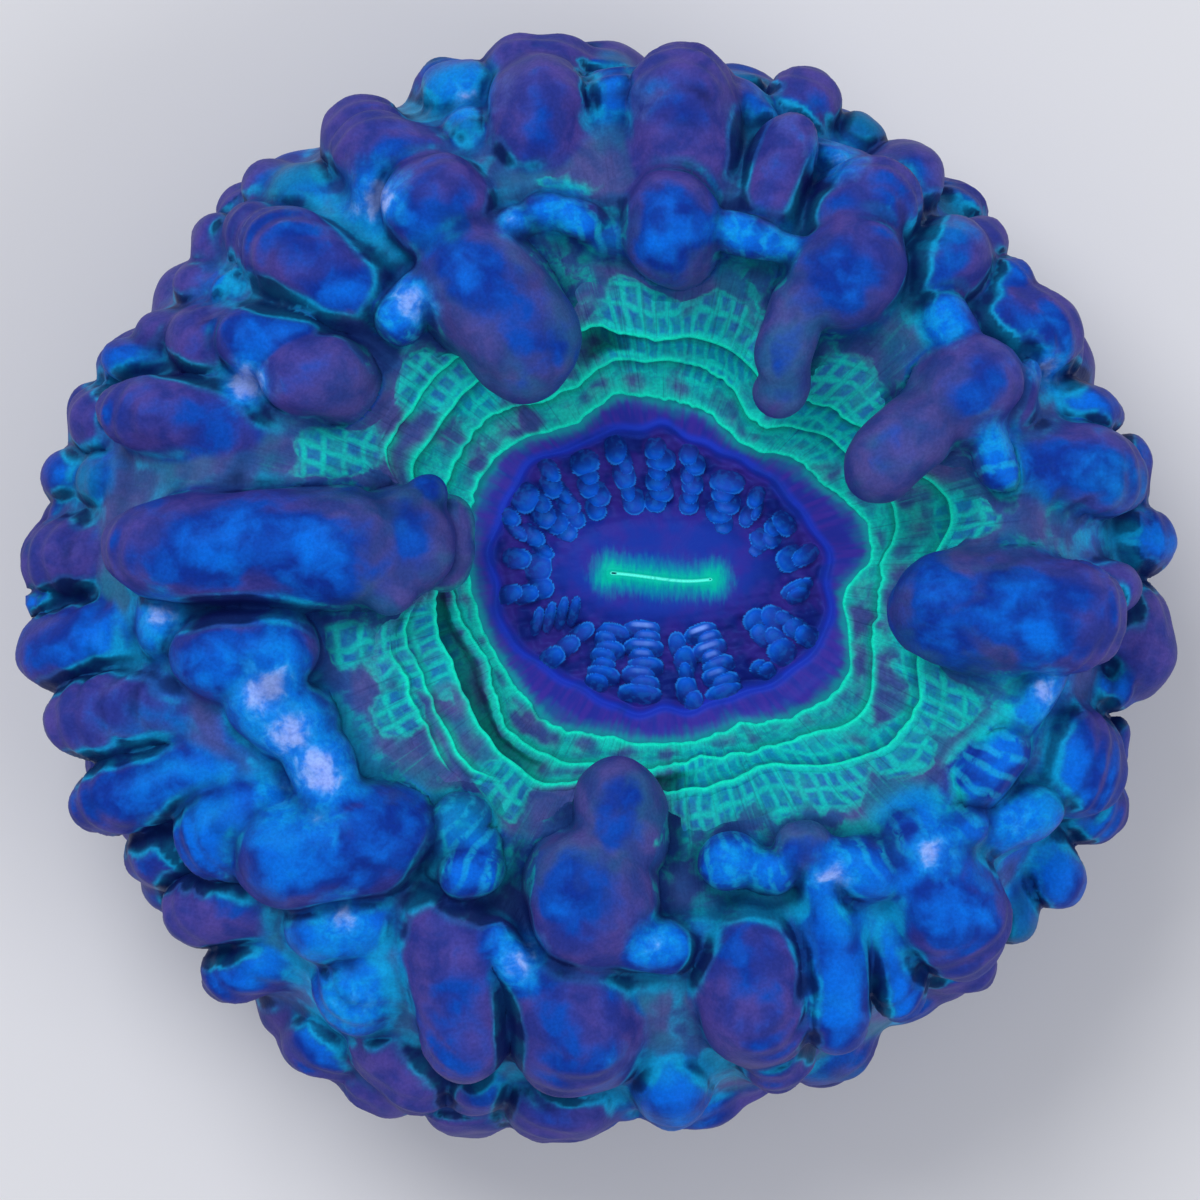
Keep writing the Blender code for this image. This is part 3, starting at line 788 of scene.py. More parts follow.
# Eases the few places where the skin has folded over itself or lies off the field.
def settle(piece, bulges):
    places = placesOf(piece)
    here = fleshField(places, bulges)[0]
    ahead = fleshField(places + normalsOf(piece) * 0.1, bulges)[0]
    folded = (ahead - here < 0.03) | (np.abs(here) > 0.15)
    print("folded", int(folded.sum()))
    selectOnly(piece, folded)
    bpy.ops.mesh.select_more()
    bpy.ops.mesh.vertices_smooth(factor=0.6, repeat=10)
    bpy.ops.object.mode_set(mode="OBJECT")


# The flesh above and below the parting, as two pieces with the same edge.
def parted(whole):
    lower = whole.copy()
    lower.data = whole.data.copy()
    bpy.context.scene.collection.objects.link(lower)
    height = body["parting"] * mm
    for piece, name, below in ((whole, "crest_flesh", True), (lower, "side_flesh", False)):
        piece.name = name
        piece.data.name = name
        inEditMode(piece, lambda: bpy.ops.mesh.bisect(
            plane_co=(0.0, 0.0, height), plane_no=(0.0, 0.0, 1.0), clear_inner=below, clear_outer=not below))
    return whole, lower


# Takes out what the fusing left sealed inside, and the walls that nobody sees.
def keepOutside(piece, bulges):
    places = placesOf(piece)
    field = fleshField(places, bulges)[0]
    away, bearings = fromMouth(places[:, 0], places[:, 1])
    last = away - lipAt(bearings, -1)
    pocketReach, pocketDepth = body["pocket"]
    coreRadius, coreTop = body["core"]
    hidden = (last < pocketReach) & (places[:, 2] < slopeTop(away, lipAt(bearings, 2)) - pocketDepth)
    hidden |= (np.hypot(places[:, 0], places[:, 1]) < coreRadius) & (places[:, 2] < coreTop)
    selectOnly(piece, (field < body["buried"]) | hidden)
    bpy.ops.mesh.delete(type="VERT")
    bpy.ops.object.mode_set(mode="OBJECT")
    places = placesOf(piece)
    selectOnly(piece, places[:, 2] == places[:, 2].max())
    bpy.ops.mesh.select_linked()
    bpy.ops.mesh.select_all(action="INVERT")
    bpy.ops.mesh.delete(type="VERT")
    bpy.ops.object.mode_set(mode="OBJECT")
    print("kept", len(piece.data.vertices))


# Goes into edit mode with these vertices selected.
def selectOnly(piece, chosen):
    makeActive(piece)
    bpy.ops.object.mode_set(mode="EDIT")
    bpy.ops.mesh.select_mode(type="VERT")
    bpy.ops.mesh.select_all(action="DESELECT")
    bpy.ops.object.mode_set(mode="OBJECT")
    piece.data.vertices.foreach_set("select", chosen)
    bpy.ops.object.mode_set(mode="EDIT")


def nameFields(piece, bulges):
    places = placesOf(piece)
    normals = normalsOf(piece)
    _, swell, tint = fleshField(places, bulges)
    fields = {
        "swell": swell,
        "crown": normals[:, 2],
        "crease": softStep(hollowness(places, normals, bulges, 0.6), 0.05, 0.5),
        "fold": softStep(hollowness(places, normals, bulges, 2.4), 0.05, 0.75),
        **dict(zip(("blueness", "paleness", "tealness"), tint.T)),
        **spotFields(*places.T[:2]),
    }
    for name, values in fields.items():
        setField(piece, name, values)


# What is painted by place alone: glowing and white spots, ladder patches, and how far out it is.
def spotFields(x, y):
    away, bearings = fromMouth(x, y)
    halo = np.zeros_like(x)
    for level, ledge in enumerate(ledges):
        near = np.exp(-np.abs(away - lipAt(bearings, level)) / mantle["halo"])
        halo = np.maximum(halo, near * presence(ledge["spans"], bearings))
    return {"glow": nearSpots(x, y, glowSpots), "white": nearSpots(x, y, glowSpots, white=True),
            "ladder": nearSpots(x, y, ladderSpots), "azure": nearSpots(x, y, azureSpots), "halo": halo,
            "out": away - lipAt(bearings, 2)}


# A lip as pairs of bearing and distance: the distances stand at every 20 degrees from +X, as in the solid,
# and each fold has a bearing, a spread in degrees, and how far out or in the lip goes there.
def foldedLip(distances, folds):
    pairs = []
    for bearing in range(0, 360, 3):
        reach = np.interp(bearing, range(0, 360, 20), distances, period=360.0)
        for middle, spread, out in folds:
            away = (bearing - middle + 180.0) % 360.0 - 180.0
            reach += out * math.exp(-(away / spread) ** 2)
        pairs.append((bearing, reach))
    return pairs


# Each ledge: its lip around the mouth, or its step out from the ledge below, the height of its edge, and
# the bearings where it stands free.
ledges = [
    {"height": 23.2, "spans": [(-180, 180)], "lip": [
        (3, 15.3), (16, 14.9), (27, 12.9), (38, 12.7), (52, 10.7), (62, 10.7), (78, 12.0), (92, 12.2),
        (104, 13.2), (122, 12.2), (133, 13.3), (143, 14.6), (159, 14.9), (190, 14.0), (218, 13.7),
        (233, 14.2), (250, 12.9), (286, 12.7), (297, 12.5), (306, 13.8), (320, 15.1), (331, 15.6),
        (341, 14.0), (353, 12.9)]},
    {"height": 25.2, "spans": [(-180, 180)], "lip": foldedLip(
        (15.6, 17.3, 15.0, 12.9, 15.0, 14.9, 16.6, 16.6, 16.2, 15.6, 15.6, 16.0, 16.0, 15.0, 13.8, 15.0, 18.0,
         15.8),
        [(12, 6, 0.7), (25, 5, -1.6), (55, 8, -1), (103, 6, 0.5), (118, 9, -1.8), (129, 7, -1), (144, 8, 0.6),
         (160, 7, 0.9), (208, 14, -1.2), (226, 7, 0.6), (252, 6, -0.5), (312, 8, -0.8), (330, 6, 0.6)])},
    {"height": 27.4, "spans": [(-180, 180)], "hollow": [(184, 238), (100, 112), (262, 276)], "lip": foldedLip(
        (19.4, 20.0, 16.9, 15.3, 16.9, 17.0, 18.6, 19.4, 18.6, 16.9, 17.6, 17.8, 18.0, 16.6, 16.0, 17.0, 20.4,
         19.8),
        [(11, 8, 1.6), (26, 6, -1.8), (57, 6, -1), (91, 6, -0.6), (108, 6, 0.8), (123, 7, -2.2),
         (158, 6, 1.1), (176, 8, -1.6), (205, 14, -0.8), (256, 9, -1.8), (297, 9, -1), (330, 6, 0.9),
         (345, 7, -0.8), (358, 7, -1.2)])},
    {"height": 28.6, "spans": [(190, 230), (115, 160)], "step": 2.3},
    {"height": 29.3, "spans": [(196, 222)], "step": 1.2},
]

mantle = {
    "columns": 1000,
    "thickness": 0.36,  # of a lip
    "overhang": 0.7,  # how far the pocket under a lip runs back
    "halo": 0.45,  # how far the green beside a lip fades
    "floor": 21.6,  # of the pocket under the lowest lip
    "level": 22.0,  # it is level up to this height, and waves above it
    "lipWidth": 0.65,
    "hollowDepth": 1.1,  # how far a hollow sinks below its band; the hollows are also painted in shadow
    "hem": (2.6, 25.0, 1.3, 22.0),  # its hidden back: out from the last lip, height, and both from the third
    "bandRings": 8,
    "climb": 0.7,  # how much of the way to the next lip a band rises
}

# Spots with bright ladder rungs, just outside the lips: x, y and radius.
ladderSpots = [
    (2.9, 19.6, 3.3), (8.4, 17.8, 3.3), (17.1, 13.1, 3.6), (20.0, 13.1, 1.8), (26.5, 4.7, 2.2),
    (24.0, -5.1, 2.5), (25.1, -8.0, 2.2), (21.8, -11.6, 2.2), (16.7, -13.5, 2.5), (13.1, -13.5, 2.5),
    (8.0, -14.5, 2.9), (-7.3, -14.5, 2.2), (-9.9, -16.8, 2.2), (-13.1, -4.4, 2.9),
    (-14.5, -8.7, 1.8), (-18.5, -3.6, 2.2), (-18.9, 10.2, 2.9), (-9.5, 16.0, 3.3), (-12.4, 14.9, 2.2),
    (-2.9, 27.3, 2.2), (4.4, -18.2, 2.2),
]


# Small waves and kinks along a lip.
def kinks(bearings, level):
    turns = np.radians(bearings)
    waves = 0.09 * np.sin(29.0 * turns + 2.2 * np.sin(6.0 * turns + level) + 2.0 * level)
    waves += 0.06 * np.sin(53.0 * turns + 3.0 * np.sin(9.0 * turns + 2.0 * level) + level)
    fading = 0.5 + 0.5 * np.sin(5.0 * turns + 2.0 * level)
    frill = np.sin(117.0 * turns + 3.0 * np.sin(13.0 * turns + level))
    return waves * (0.5 + 0.5 * fading) + 0.035 * fading * frill


# How far out the lip of each ledge is at these bearings.
def ledgeReaches(bearings):
    reaches = []
    for level, ledge in enumerate(ledges):
        if "step" in ledge:
            there = presence(ledge["spans"], bearings)
            reach = reaches[-1] + 1.0 + there * (ledge["step"] - 1.0 + kinks(bearings, level))
        else:
            reach = ringReach(ledge["lip"], bearings) + kinks(bearings, level)
        if level:
            reach = np.maximum(reach, reaches[-1] + 0.55)
        reaches.append(reach)
    return reaches


# Distance, height, bright edge and the painted shadow under the lips, for every ring of the mantle, at all
# bearings.
def mantleRings(bearings):
    ones = np.ones_like(bearings)
    reaches = ledgeReaches(bearings)
    rings = []

    def addRing(distance, height, edge=0.0, gapShadow=0.0):
        rings.append((distance * ones, height * ones, edge * ones, gapShadow * ones))

    floor = mantle["floor"]
    lipWidth = mantle["lipWidth"]
    overhang = mantle["overhang"]
    thick = mantle["thickness"]
    turns = np.radians(bearings)
    for level, ledge in enumerate(ledges):
        lip = reaches[level]
        there = presence(ledge["spans"], bearings)
        hollow = presence(ledge.get("hollow", []), bearings)
        deep = 0.5 + 0.5 * np.sin(4.0 * turns + 2.1 * level + 1.6 * np.sin(3.0 * turns + level))
        deep = np.maximum(0.2 + 0.35 * deep, hollow)
        top = ledge["height"]
        # distance back from the lip, height, bright edge, painted shadow in the gap under the lip
        section = [
            (overhang, floor, 0.0, deep),
            (overhang + 0.1, 0.5 * (floor + top) - 0.2, 0.0, deep),
            (0.15 + 0.3 * deep, top - thick - 0.08, 0.0, deep),
            (0.1, top - thick, 0.3, 0.3 * deep),
            (0.0, top - 0.5 * thick, 1.0, 0.0),
            (0.08, top - 0.06, 1.0, 0.0),
            (0.26, top + 0.03, 0.45, 0.0),
            (lipWidth, top + 0.06, 0.0, 0.0),
        ]
        for step, (back, height, edge, gapShadow) in enumerate(section):
            plain = 0.08 * step
            distance = lip + there * back + (1.0 - there) * plain
            mixed = there * height + (1.0 - there) * slopeTop(distance, reaches[2])
            addRing(distance, mixed, edge * there, gapShadow * there)
        if level < len(ledges) - 1:
            ahead = reaches[level + 1]
            nextThere = presence(ledges[level + 1]["spans"], bearings)
            start = lip + lipWidth
            end = np.maximum(ahead - 0.12, start + 0.05)
            hollow = presence(ledges[level + 1].get("hollow", []), bearings)
            climb = mantle["climb"] * (ledges[level + 1]["height"] - top)
            for step in range(1, mantle["bandRings"] + 1):
                share = step / mantle["bandRings"]
                distance = start + (end - start) * share
                rise = climb * share**1.3
                sunk = mantle["hollowDepth"] * min(share / 0.4, 1.0)
                height = top + 0.06 + rise - hollow * (rise + sunk)
                if level >= 2:
                    height = nextThere * height + (1.0 - nextThere) * slopeTop(distance, reaches[2])
                # Painted shadow on the band where the next lip overhangs it, and across the hollows.
                shade = 0.65 * max(share - 0.7, 0.0) / 0.3 * (nextThere if level >= 2 else 1.0)
                shade = np.maximum(shade, hollow * min(share / 0.3, 1.0) * 0.9)
                addRing(distance, height, 0.0, shade)
            floor = height - 0.25
    last = reaches[-1] + 0.8
    for step in range(1, 7):
        distance = last + 0.4 * step
        addRing(distance, slopeTop(distance, reaches[2]) - 0.04 * step**2)
    hemOut, hemHeight, hemBack, hemFloor = mantle["hem"]
    addRing(last + hemOut, hemHeight)
    addRing(reaches[2] + hemBack, hemFloor)
    # The floor under the lowest lip, painted in full shadow.
    addRing(reaches[0] + overhang, mantle["floor"], gapShadow=1.0)
    return rings


def makeMantle():
    bearings, turns = roundOf(mantle["columns"])
    rings = mantleRings(bearings)
    rings.append(rings[0])
    distance, height, edge, gapShadow = (np.array(values) for values in zip(*rings))
    x = mouth[0] + distance * np.cos(turns)
    y = mouth[1] + distance * np.sin(turns)
    pleats = 0.03 * np.sin(173.0 * turns + 4.0 * np.sin(7.0 * turns))
    pleats = pleats + 0.05 * np.sin(61.0 * turns + np.sin(5.0 * turns))
    pleats = pleats * (0.5 + 0.5 * np.sin(17.0 * turns + 2.0 * np.sin(3.0 * turns)))
    height = height + np.where(height > mantle["level"], bodyWaves(x, y) + pleats, 0.0)
    closeSeam(x, y, height)
    fields = {"edge": edge, "gapShadow": gapShadow, **spotFields(x, y)}
    return rolledSheet("mantle", x, y, height, fields)


disc = {
    "columns": 620,
    "rings": 150,
    "spread": ((0.0, 0.12, 0.86, 1.0), (0.0, 0.26, 0.82, 1.0)),  # the rings lie closest where the beads are
    "tuck": 1.3,  # how far it runs on under the lowest lip
    "pit": 21.0,  # height of the floor between the beads
    "back": [(1.0, 21.5), (0.85, 20.7), (0.5, 20.3), (0.0, 20.1)],  # hidden: share of its reach, and height
    "field": (-0.4, 0.0, 7.6, 3.9),  # the smooth part round the mouth: middle and half sizes, from the mouth
    "slit": ((-3.85, -0.36), (3.4, -0.82)),
    "glow": (-0.1, -0.65, 4.9, 2.0),
    "ring": [(0, 12.0), (30, 10.5), (60, 9.1), (90, 10.2), (115, 10.9), (125, 10.2), (140, 12.4),
             (170, 12.7), (200, 12.4), (230, 10.9), (260, 10.5), (290, 10.2), (320, 12.0), (340, 12.5)],
}

# The beaded rows, from their outer to their inner end: two places from the mouth, number of beads, half
# width, and how much painted highlight the inner beads get.
beadRows = [
    (-3.3, 8.7, -2.4, 4.9, 5, 0.75, 0.0), (-0.4, 8.7, -0.4, 4.9, 6, 0.95, 0.0),
    (2.0, 8.3, 1.9, 4.7, 6, 0.75, 0.0), (4.6, 6.3, 4.0, 2.5, 6, 1.1, 0.1),
    (-5.9, 7.7, -4.8, 4.5, 5, 0.9, 0.0), (-8.6, 7.0, -6.5, 3.9, 5, 0.7, 0.0),
    (-10.0, 5.3, -7.3, 2.7, 5, 0.9, 0.1), (-11.6, 3.7, -8.9, 1.5, 4, 0.6, 0.0),
    (-10.8, 0.5, -9.2, 0.3, 2, 0.9, 0.0), (-11.3, -2.1, -9.1, -1.5, 3, 0.75, 0.0),
    (-8.3, -6.5, -6.0, -4.9, 3, 0.7, 0.0), (-4.7, -8.4, -3.9, -4.7, 7, 1.1, 0.1),
    (-1.7, -9.2, -1.4, -4.5, 8, 1.35, 0.7), (2.0, -10.0, 1.2, -5.7, 5, 0.75, 0.0),
    (4.5, -9.1, 2.9, -4.7, 8, 1.2, 1.0), (8.7, -6.0, 6.7, -4.1, 4, 0.85, 0.1),
    (7.4, -7.6, 7.1, -7.2, 2, 0.7, 0.0), (9.9, -1.9, 9.7, -1.5, 2, 1.1, 0.0),
    (10.2, 1.1, 9.3, 0.6, 2, 0.8, 0.0), (8.7, 3.3, 6.7, 1.5, 5, 0.85, 0.1),
    (6.9, 5.1, 6.3, 3.7, 3, 0.5, 0.0), (10.5, -4.9, 8.1, -3.5, 4, 0.75, 0.0),
]

# Thin upright folds beside the lower left rows: place from the mouth, and half length.
thinFolds = [(-9.3, -3.9, 1.1), (-8.4, -3.6, 1.2), (-7.5, -3.3, 1.3), (-6.6, -3.1, 1.2)]
foldHeading = np.array([0.25, 0.97])


# Each bead: place, heading, half length, half width, share of the way in, how much painted highlight it gets
# and how blue it is.
def listBeads():
    beads = []
    for outX, outY, inX, inY, count, halfWidth, whiteAndHighlight in beadRows:
        outer = np.array([outX, outY])
        inner = np.array([inX, inY])
        ahead = inner - outer
        length = float(np.hypot(*ahead))
        ahead = ahead / length
        spacing = length / (count - 1)
        halfLength = min(max(1.15 * spacing, 0.6), 1.1)
        for step in range(count):
            share = step / (count - 1)
            size = 0.9 + 0.2 * math.sin(2.6 * step + 3.0 * outX) + 0.12 * (2.0 * share - 1.0) ** 2
            sway = 0.24 * math.sin(3.7 * step + 2.0 * outY) * np.array([-ahead[1], ahead[0]])
            place = outer + ahead * spacing * step + sway
            shine = whiteAndHighlight * share * abs(math.sin(1.9 * step + 0.8))
            beads.append((place, ahead, halfLength, halfWidth * size, share, shine, 1.0))
    for x, y, half in thinFolds:
        beads.append((np.array([x, y]), foldHeading, half, 0.42, 0.3, 0.0, 0.9))
    return beads


# Distance from the slit, which bows a little.
def fromSlit(x, y):
    (startX, startY), (endX, endY) = disc["slit"]
    runX = endX - startX
    runY = endY - startY
    along = np.clip(((x - startX) * runX + (y - startY) * runY) / (runX**2 + runY**2), 0.0, 1.0)
    bow = 0.25 * np.sin(math.pi * along**1.8)
    return np.hypot(x - startX - along * runX, y - startY - along * runY + bow)


# Height of the disc without its beads, and how far each place is in the pit where they lie.
def discGround(x, y, away, turns, ring, slitAway):
    fieldX, fieldY, halfX, halfY = disc["field"]
    smoothField = np.sqrt(((x - fieldX) / halfX) ** 2 + ((y - fieldY) / halfY) ** 2)
    inField = 1.0 - softStep(smoothField, 0.75, 1.35)
    height = disc["pit"] + 0.85 * inField
    height += 0.6 * softStep(away, ring - 0.45, ring)
    height += 0.12 * np.exp(-(((away - ring - 0.1) / 0.16) ** 2))
    height += 0.85 * softStep(away, ring - 0.1, ring + 2.2)
    glowX, glowY, glowHalfX, glowHalfY = disc["glow"]
    swell = ((x - glowX) / glowHalfX) ** 2 + ((y - glowY) / glowHalfY) ** 2
    height += 0.35 * np.exp(-swell)
    height += 0.12 * np.exp(-(((slitAway - 0.3) / 0.25) ** 2)) - 0.1 * np.exp(-((slitAway / 0.1) ** 2))
    flat = flatPlaces(x, y)
    inPit = (1.0 - inField) * (1.0 - softStep(away, ring - 0.8, ring - 0.2))
    height += inPit * (0.2 * wander(flat, 1.6, 5.0) + 0.12 * wander(flat, 0.8, 8.0))
    height += 0.05 * wander(flat, 5.0, 6.0)
    creases = np.sin(150.0 * turns + 3.0 * np.sin(11.0 * turns)) * (0.6 + 0.4 * np.sin(23.0 * turns))
    height += 0.018 * creases * softStep(away, ring, ring + 1.5)
    return height, inPit


# Raises the beads out of the ground. Also how much bead each place is, with painted shade that darkens each
# bead towards its outer end, the bright edge, which is partly painted highlight, and the painted highlight on
# the top.
def raiseBeads(x, y, height):
    beadAndShade, arc, whiteAndHighlight = np.zeros((3, *x.shape))
    for place, ahead, halfLength, halfWidth, share, white, blue in listBeads():
        dx = x - place[0]
        dy = y - place[1]
        near = np.nonzero((np.abs(dx) < 2.2) & (np.abs(dy) < 2.2))
        forward = (dx[near] * ahead[0] + dy[near] * ahead[1]) / halfLength
        sideways = (dy[near] * ahead[0] - dx[near] * ahead[1]) / halfWidth
        span = (np.abs(forward) ** 2.4 + np.abs(sideways) ** 2.4) ** (1.0 / 2.4)
        dome = np.clip(1.0 - span**4.0, 0.0, 1.0) ** 0.6
        tall = (0.6 + 0.4 * blue) * (0.95 + 0.25 * (1.0 - share))
        top = disc["pit"] + 0.1 + tall * dome * (0.62 + 0.38 * forward) - 0.16 * np.clip(sideways, -1, 1) ** 2
        wins = (span < 1.0) & (top > height[near])
        spot = tuple(index[wins] for index in near)
        height[spot] = top[wins]
        # Painted shade: this falls towards the bead's outer end, which is painted darker there.
        beadAndShade[spot] = blue * (0.55 + 0.45 * np.clip(forward[wins], -1.0, 1.0))
        # Bright edge on the inner side: partly the bead's own outline, partly painted highlight.
        arc[spot] = blue * softStep(span[wins], 0.82, 0.94) * softStep(forward[wins], 0.1, 0.5)
        # Painted highlight: a small white glint on the top, towards the inner end.
        shine = softStep(np.abs(sideways[wins]), 0.7, 0.2) * softStep(np.abs(forward[wins] - 0.45), 0.3, 0.1)
        whiteAndHighlight[spot] = white * shine
    return {"beadAndShade": beadAndShade, "arc": arc, "whiteAndHighlight": whiteAndHighlight}


def makeDisc():
    bearings, turns = roundOf(disc["columns"])
    edge = ringReach(ledges[0]["lip"], bearings) + disc["tuck"]
    away = np.interp(np.linspace(0.0, 1.0, disc["rings"]), *disc["spread"])[:, None] * edge
    x = away * np.cos(turns)
    y = away * np.sin(turns)
    scallops = 0.22 * np.sin(9.0 * turns + 1.5 * np.sin(4.0 * turns)) + 0.1 * np.sin(21.0 * turns)
    ring = (ringReach(disc["ring"], bearings, 5.0) + scallops) * np.ones_like(x)
    slitAway = fromSlit(x, y)
    height, inPit = discGround(x, y, away, turns, ring, slitAway)
    fields = raiseBeads(x, y, height)
    fields.update(pit=inPit, ringGap=away - ring, lipGap=edge - disc["tuck"] - away, slit=slitAway)
    shares, levels = np.array(disc["back"]).T[:, :, None]
    x = np.concatenate([x, shares * x[-1:]])
    y = np.concatenate([y, shares * y[-1:]])
    height = np.concatenate([height, levels * np.ones_like(turns)])
    x[0] = x[-1] = y[0] = y[-1] = 0.0
    height[0] = height[0].mean()
    height[-1] = height[-1].mean()
    closeSeam(x, y, height)
    for name, values in fields.items():
        fields[name] = np.concatenate([values, np.zeros((len(levels), len(turns)))])
    return rolledSheet("oral_disc", x + mouth[0], y + mouth[1], height, fields)


foot = {
    "columns": 720,
    "ribs": 48,
    "ribDepth": 0.35,
    "carved": (0.2, 7.0),  # the heights between which the ribs run
    # share of the foot's radius and height, from the middle of the cut outwards and up into the flesh
    "profile": [
        (0.0, 0.0), (0.2, 0.0), (0.4, 0.0), (0.6, 0.0), (0.8, 0.0), (0.94, 0.0), (0.975, 0.0), (1.0, 0.25),
        (1.006, 0.8), (1.01, 1.5), (1.02, 2.3), (1.04, 3.2), (1.07, 4.2), (1.1, 5.4), (1.08, 6.6), (0.8, 7.4),
        (0.0, 7.6)],
}


def makeFoot():
    _, turns = roundOf(foot["columns"])
    rib = foot["ribDepth"] * np.abs(np.sin(0.5 * foot["ribs"] * turns)) ** 0.7
    shares, heights = np.array(foot["profile"]).T[:, :, None]
    low, high = foot["carved"]
    distance = shares * coral["footRadius"] - ((heights > low) & (heights < high)) * rib
    x = distance * np.cos(turns)
    y = distance * np.sin(turns)
    closeSeam(x, y)
    grooves = np.ones_like(x) * (1.0 - rib / foot["ribDepth"])
    return rolledSheet("foot", x, y, heights * np.ones_like(turns), {"groove": grooves})


def makeDiscPaint():
    paint = Paint("disc flesh", Roughness=0.45, Emission_Strength=0.22)
    place = paint.place()
    streak = paint.streaks(26.0, 3.0)
    blotch = paint.noise(place, 2.4, 3.0)
    fine = paint.noise(place, 0.5, 2.0)
    ringGap, lipGap, beadAndShade, slit = paint.fields("ringGap", "lipGap", "beadAndShade", "slit")
    violet = paint.blend(blotch.step(0.35, 0.7), (26, 50, 154), (50, 42, 146))
    shadow = paint.blend(blotch.step(0.4, 0.62), (18, 30, 108), (46, 36, 124))
    paint.colour = paint.blend(paint.field("pit"), violet, shadow)
    band = paint.blend(streak.step(0.35, 0.68), (38, 44, 146), (58, 44, 148))
    paint.lay(ringGap.step(0.0, 0.7), band)
    ringLine = ringGap.step(-0.4, 0.0) * ringGap.step(0.75, 0.2)
    paint.lay(ringLine * blotch.step(0.3, 0.55) * 0.7, (20, 54, 186))
    teeth = (lipGap + streak * 1.5 + (blotch - 0.5) * 2.2).step(2.1, 1.0) * ringGap.step(0.2, 1.2)
    paint.lay(teeth * 0.5, (26, 112, 146))
    paint.lay((lipGap + streak * 0.8).step(1.1, 0.4) * 0.6, (14, 164, 160))
    # Beads go from dark blue at their outer ends to bright blue at their inner ends: painted shade.
    beadBlue = paint.blend((beadAndShade + (blotch - 0.5) * 0.8).step(0.3, 0.95), (16, 40, 116), (12, 88, 208))
    beadBlue = paint.blend(blotch.step(0.46, 0.6) * 0.4, beadBlue, (42, 46, 132))
    beadBlue = paint.blend(fine.step(0.45, 0.65) * 0.3, beadBlue, (18, 104, 190))
    paint.lay(beadAndShade.step(0.02, 0.12), beadBlue)
    # Thin light edge on the inner side of each bead: partly its own outline, partly painted highlight.
    paint.lay(paint.field("arc") * 0.9, (40, 140, 236))
    # Painted highlight: small white glints on the inner beads.
    paint.lay(paint.field("whiteAndHighlight") * (fine * 0.6 + 0.4), (132, 168, 255))

    # the mouth: a soft streaky glow round the slit, brightest at its ends
    glowX, glowY, halfX, halfY = disc["glow"]
    x, y, _ = paint.split(paint.place(mouth[0] + glowX, mouth[1] + glowY))
    upStreak = paint.noise(paint.joined(x * 3.2, y * 0.8, 0.0), 1.0, 4.0, 0.6)
    ends = abs(x / halfX).step(0.45, 0.85)
    reach = slit + (upStreak - 0.5) * 1.5 + (blotch - 0.5) * 0.5 + (1.0 - ends) * 0.12
    paint.lay(reach.step(halfY + 0.4, 0.9) * 0.55, (8, 84, 168))
    paint.lay((reach - ends * 0.2).step(1.9, 0.4) * 0.9, (3, 150, 160))
    paint.lay((reach - ends * 0.35).step(1.0, 0.0) * 0.75, (4, 196, 156))
    paint.lay(slit.step(0.15, 0.05) * 0.9, (90, 244, 226))
    hole = slit.step(0.16, 0.08) * abs(x).step(3.25, 3.5)
    paint.lay(hole, (90, 244, 226))
    # A dark middle at each end of the slit: painted shade in the opening.
    paint.lay(slit.step(0.1, 0.04) * abs(x).step(3.3, 3.5), (0, 60, 70))
    normal = paint.bump(fine + streak * 0.6, 0.35, 0.12 * mm)
    return paint.finish(normal, "Base Color", "Emission Color")


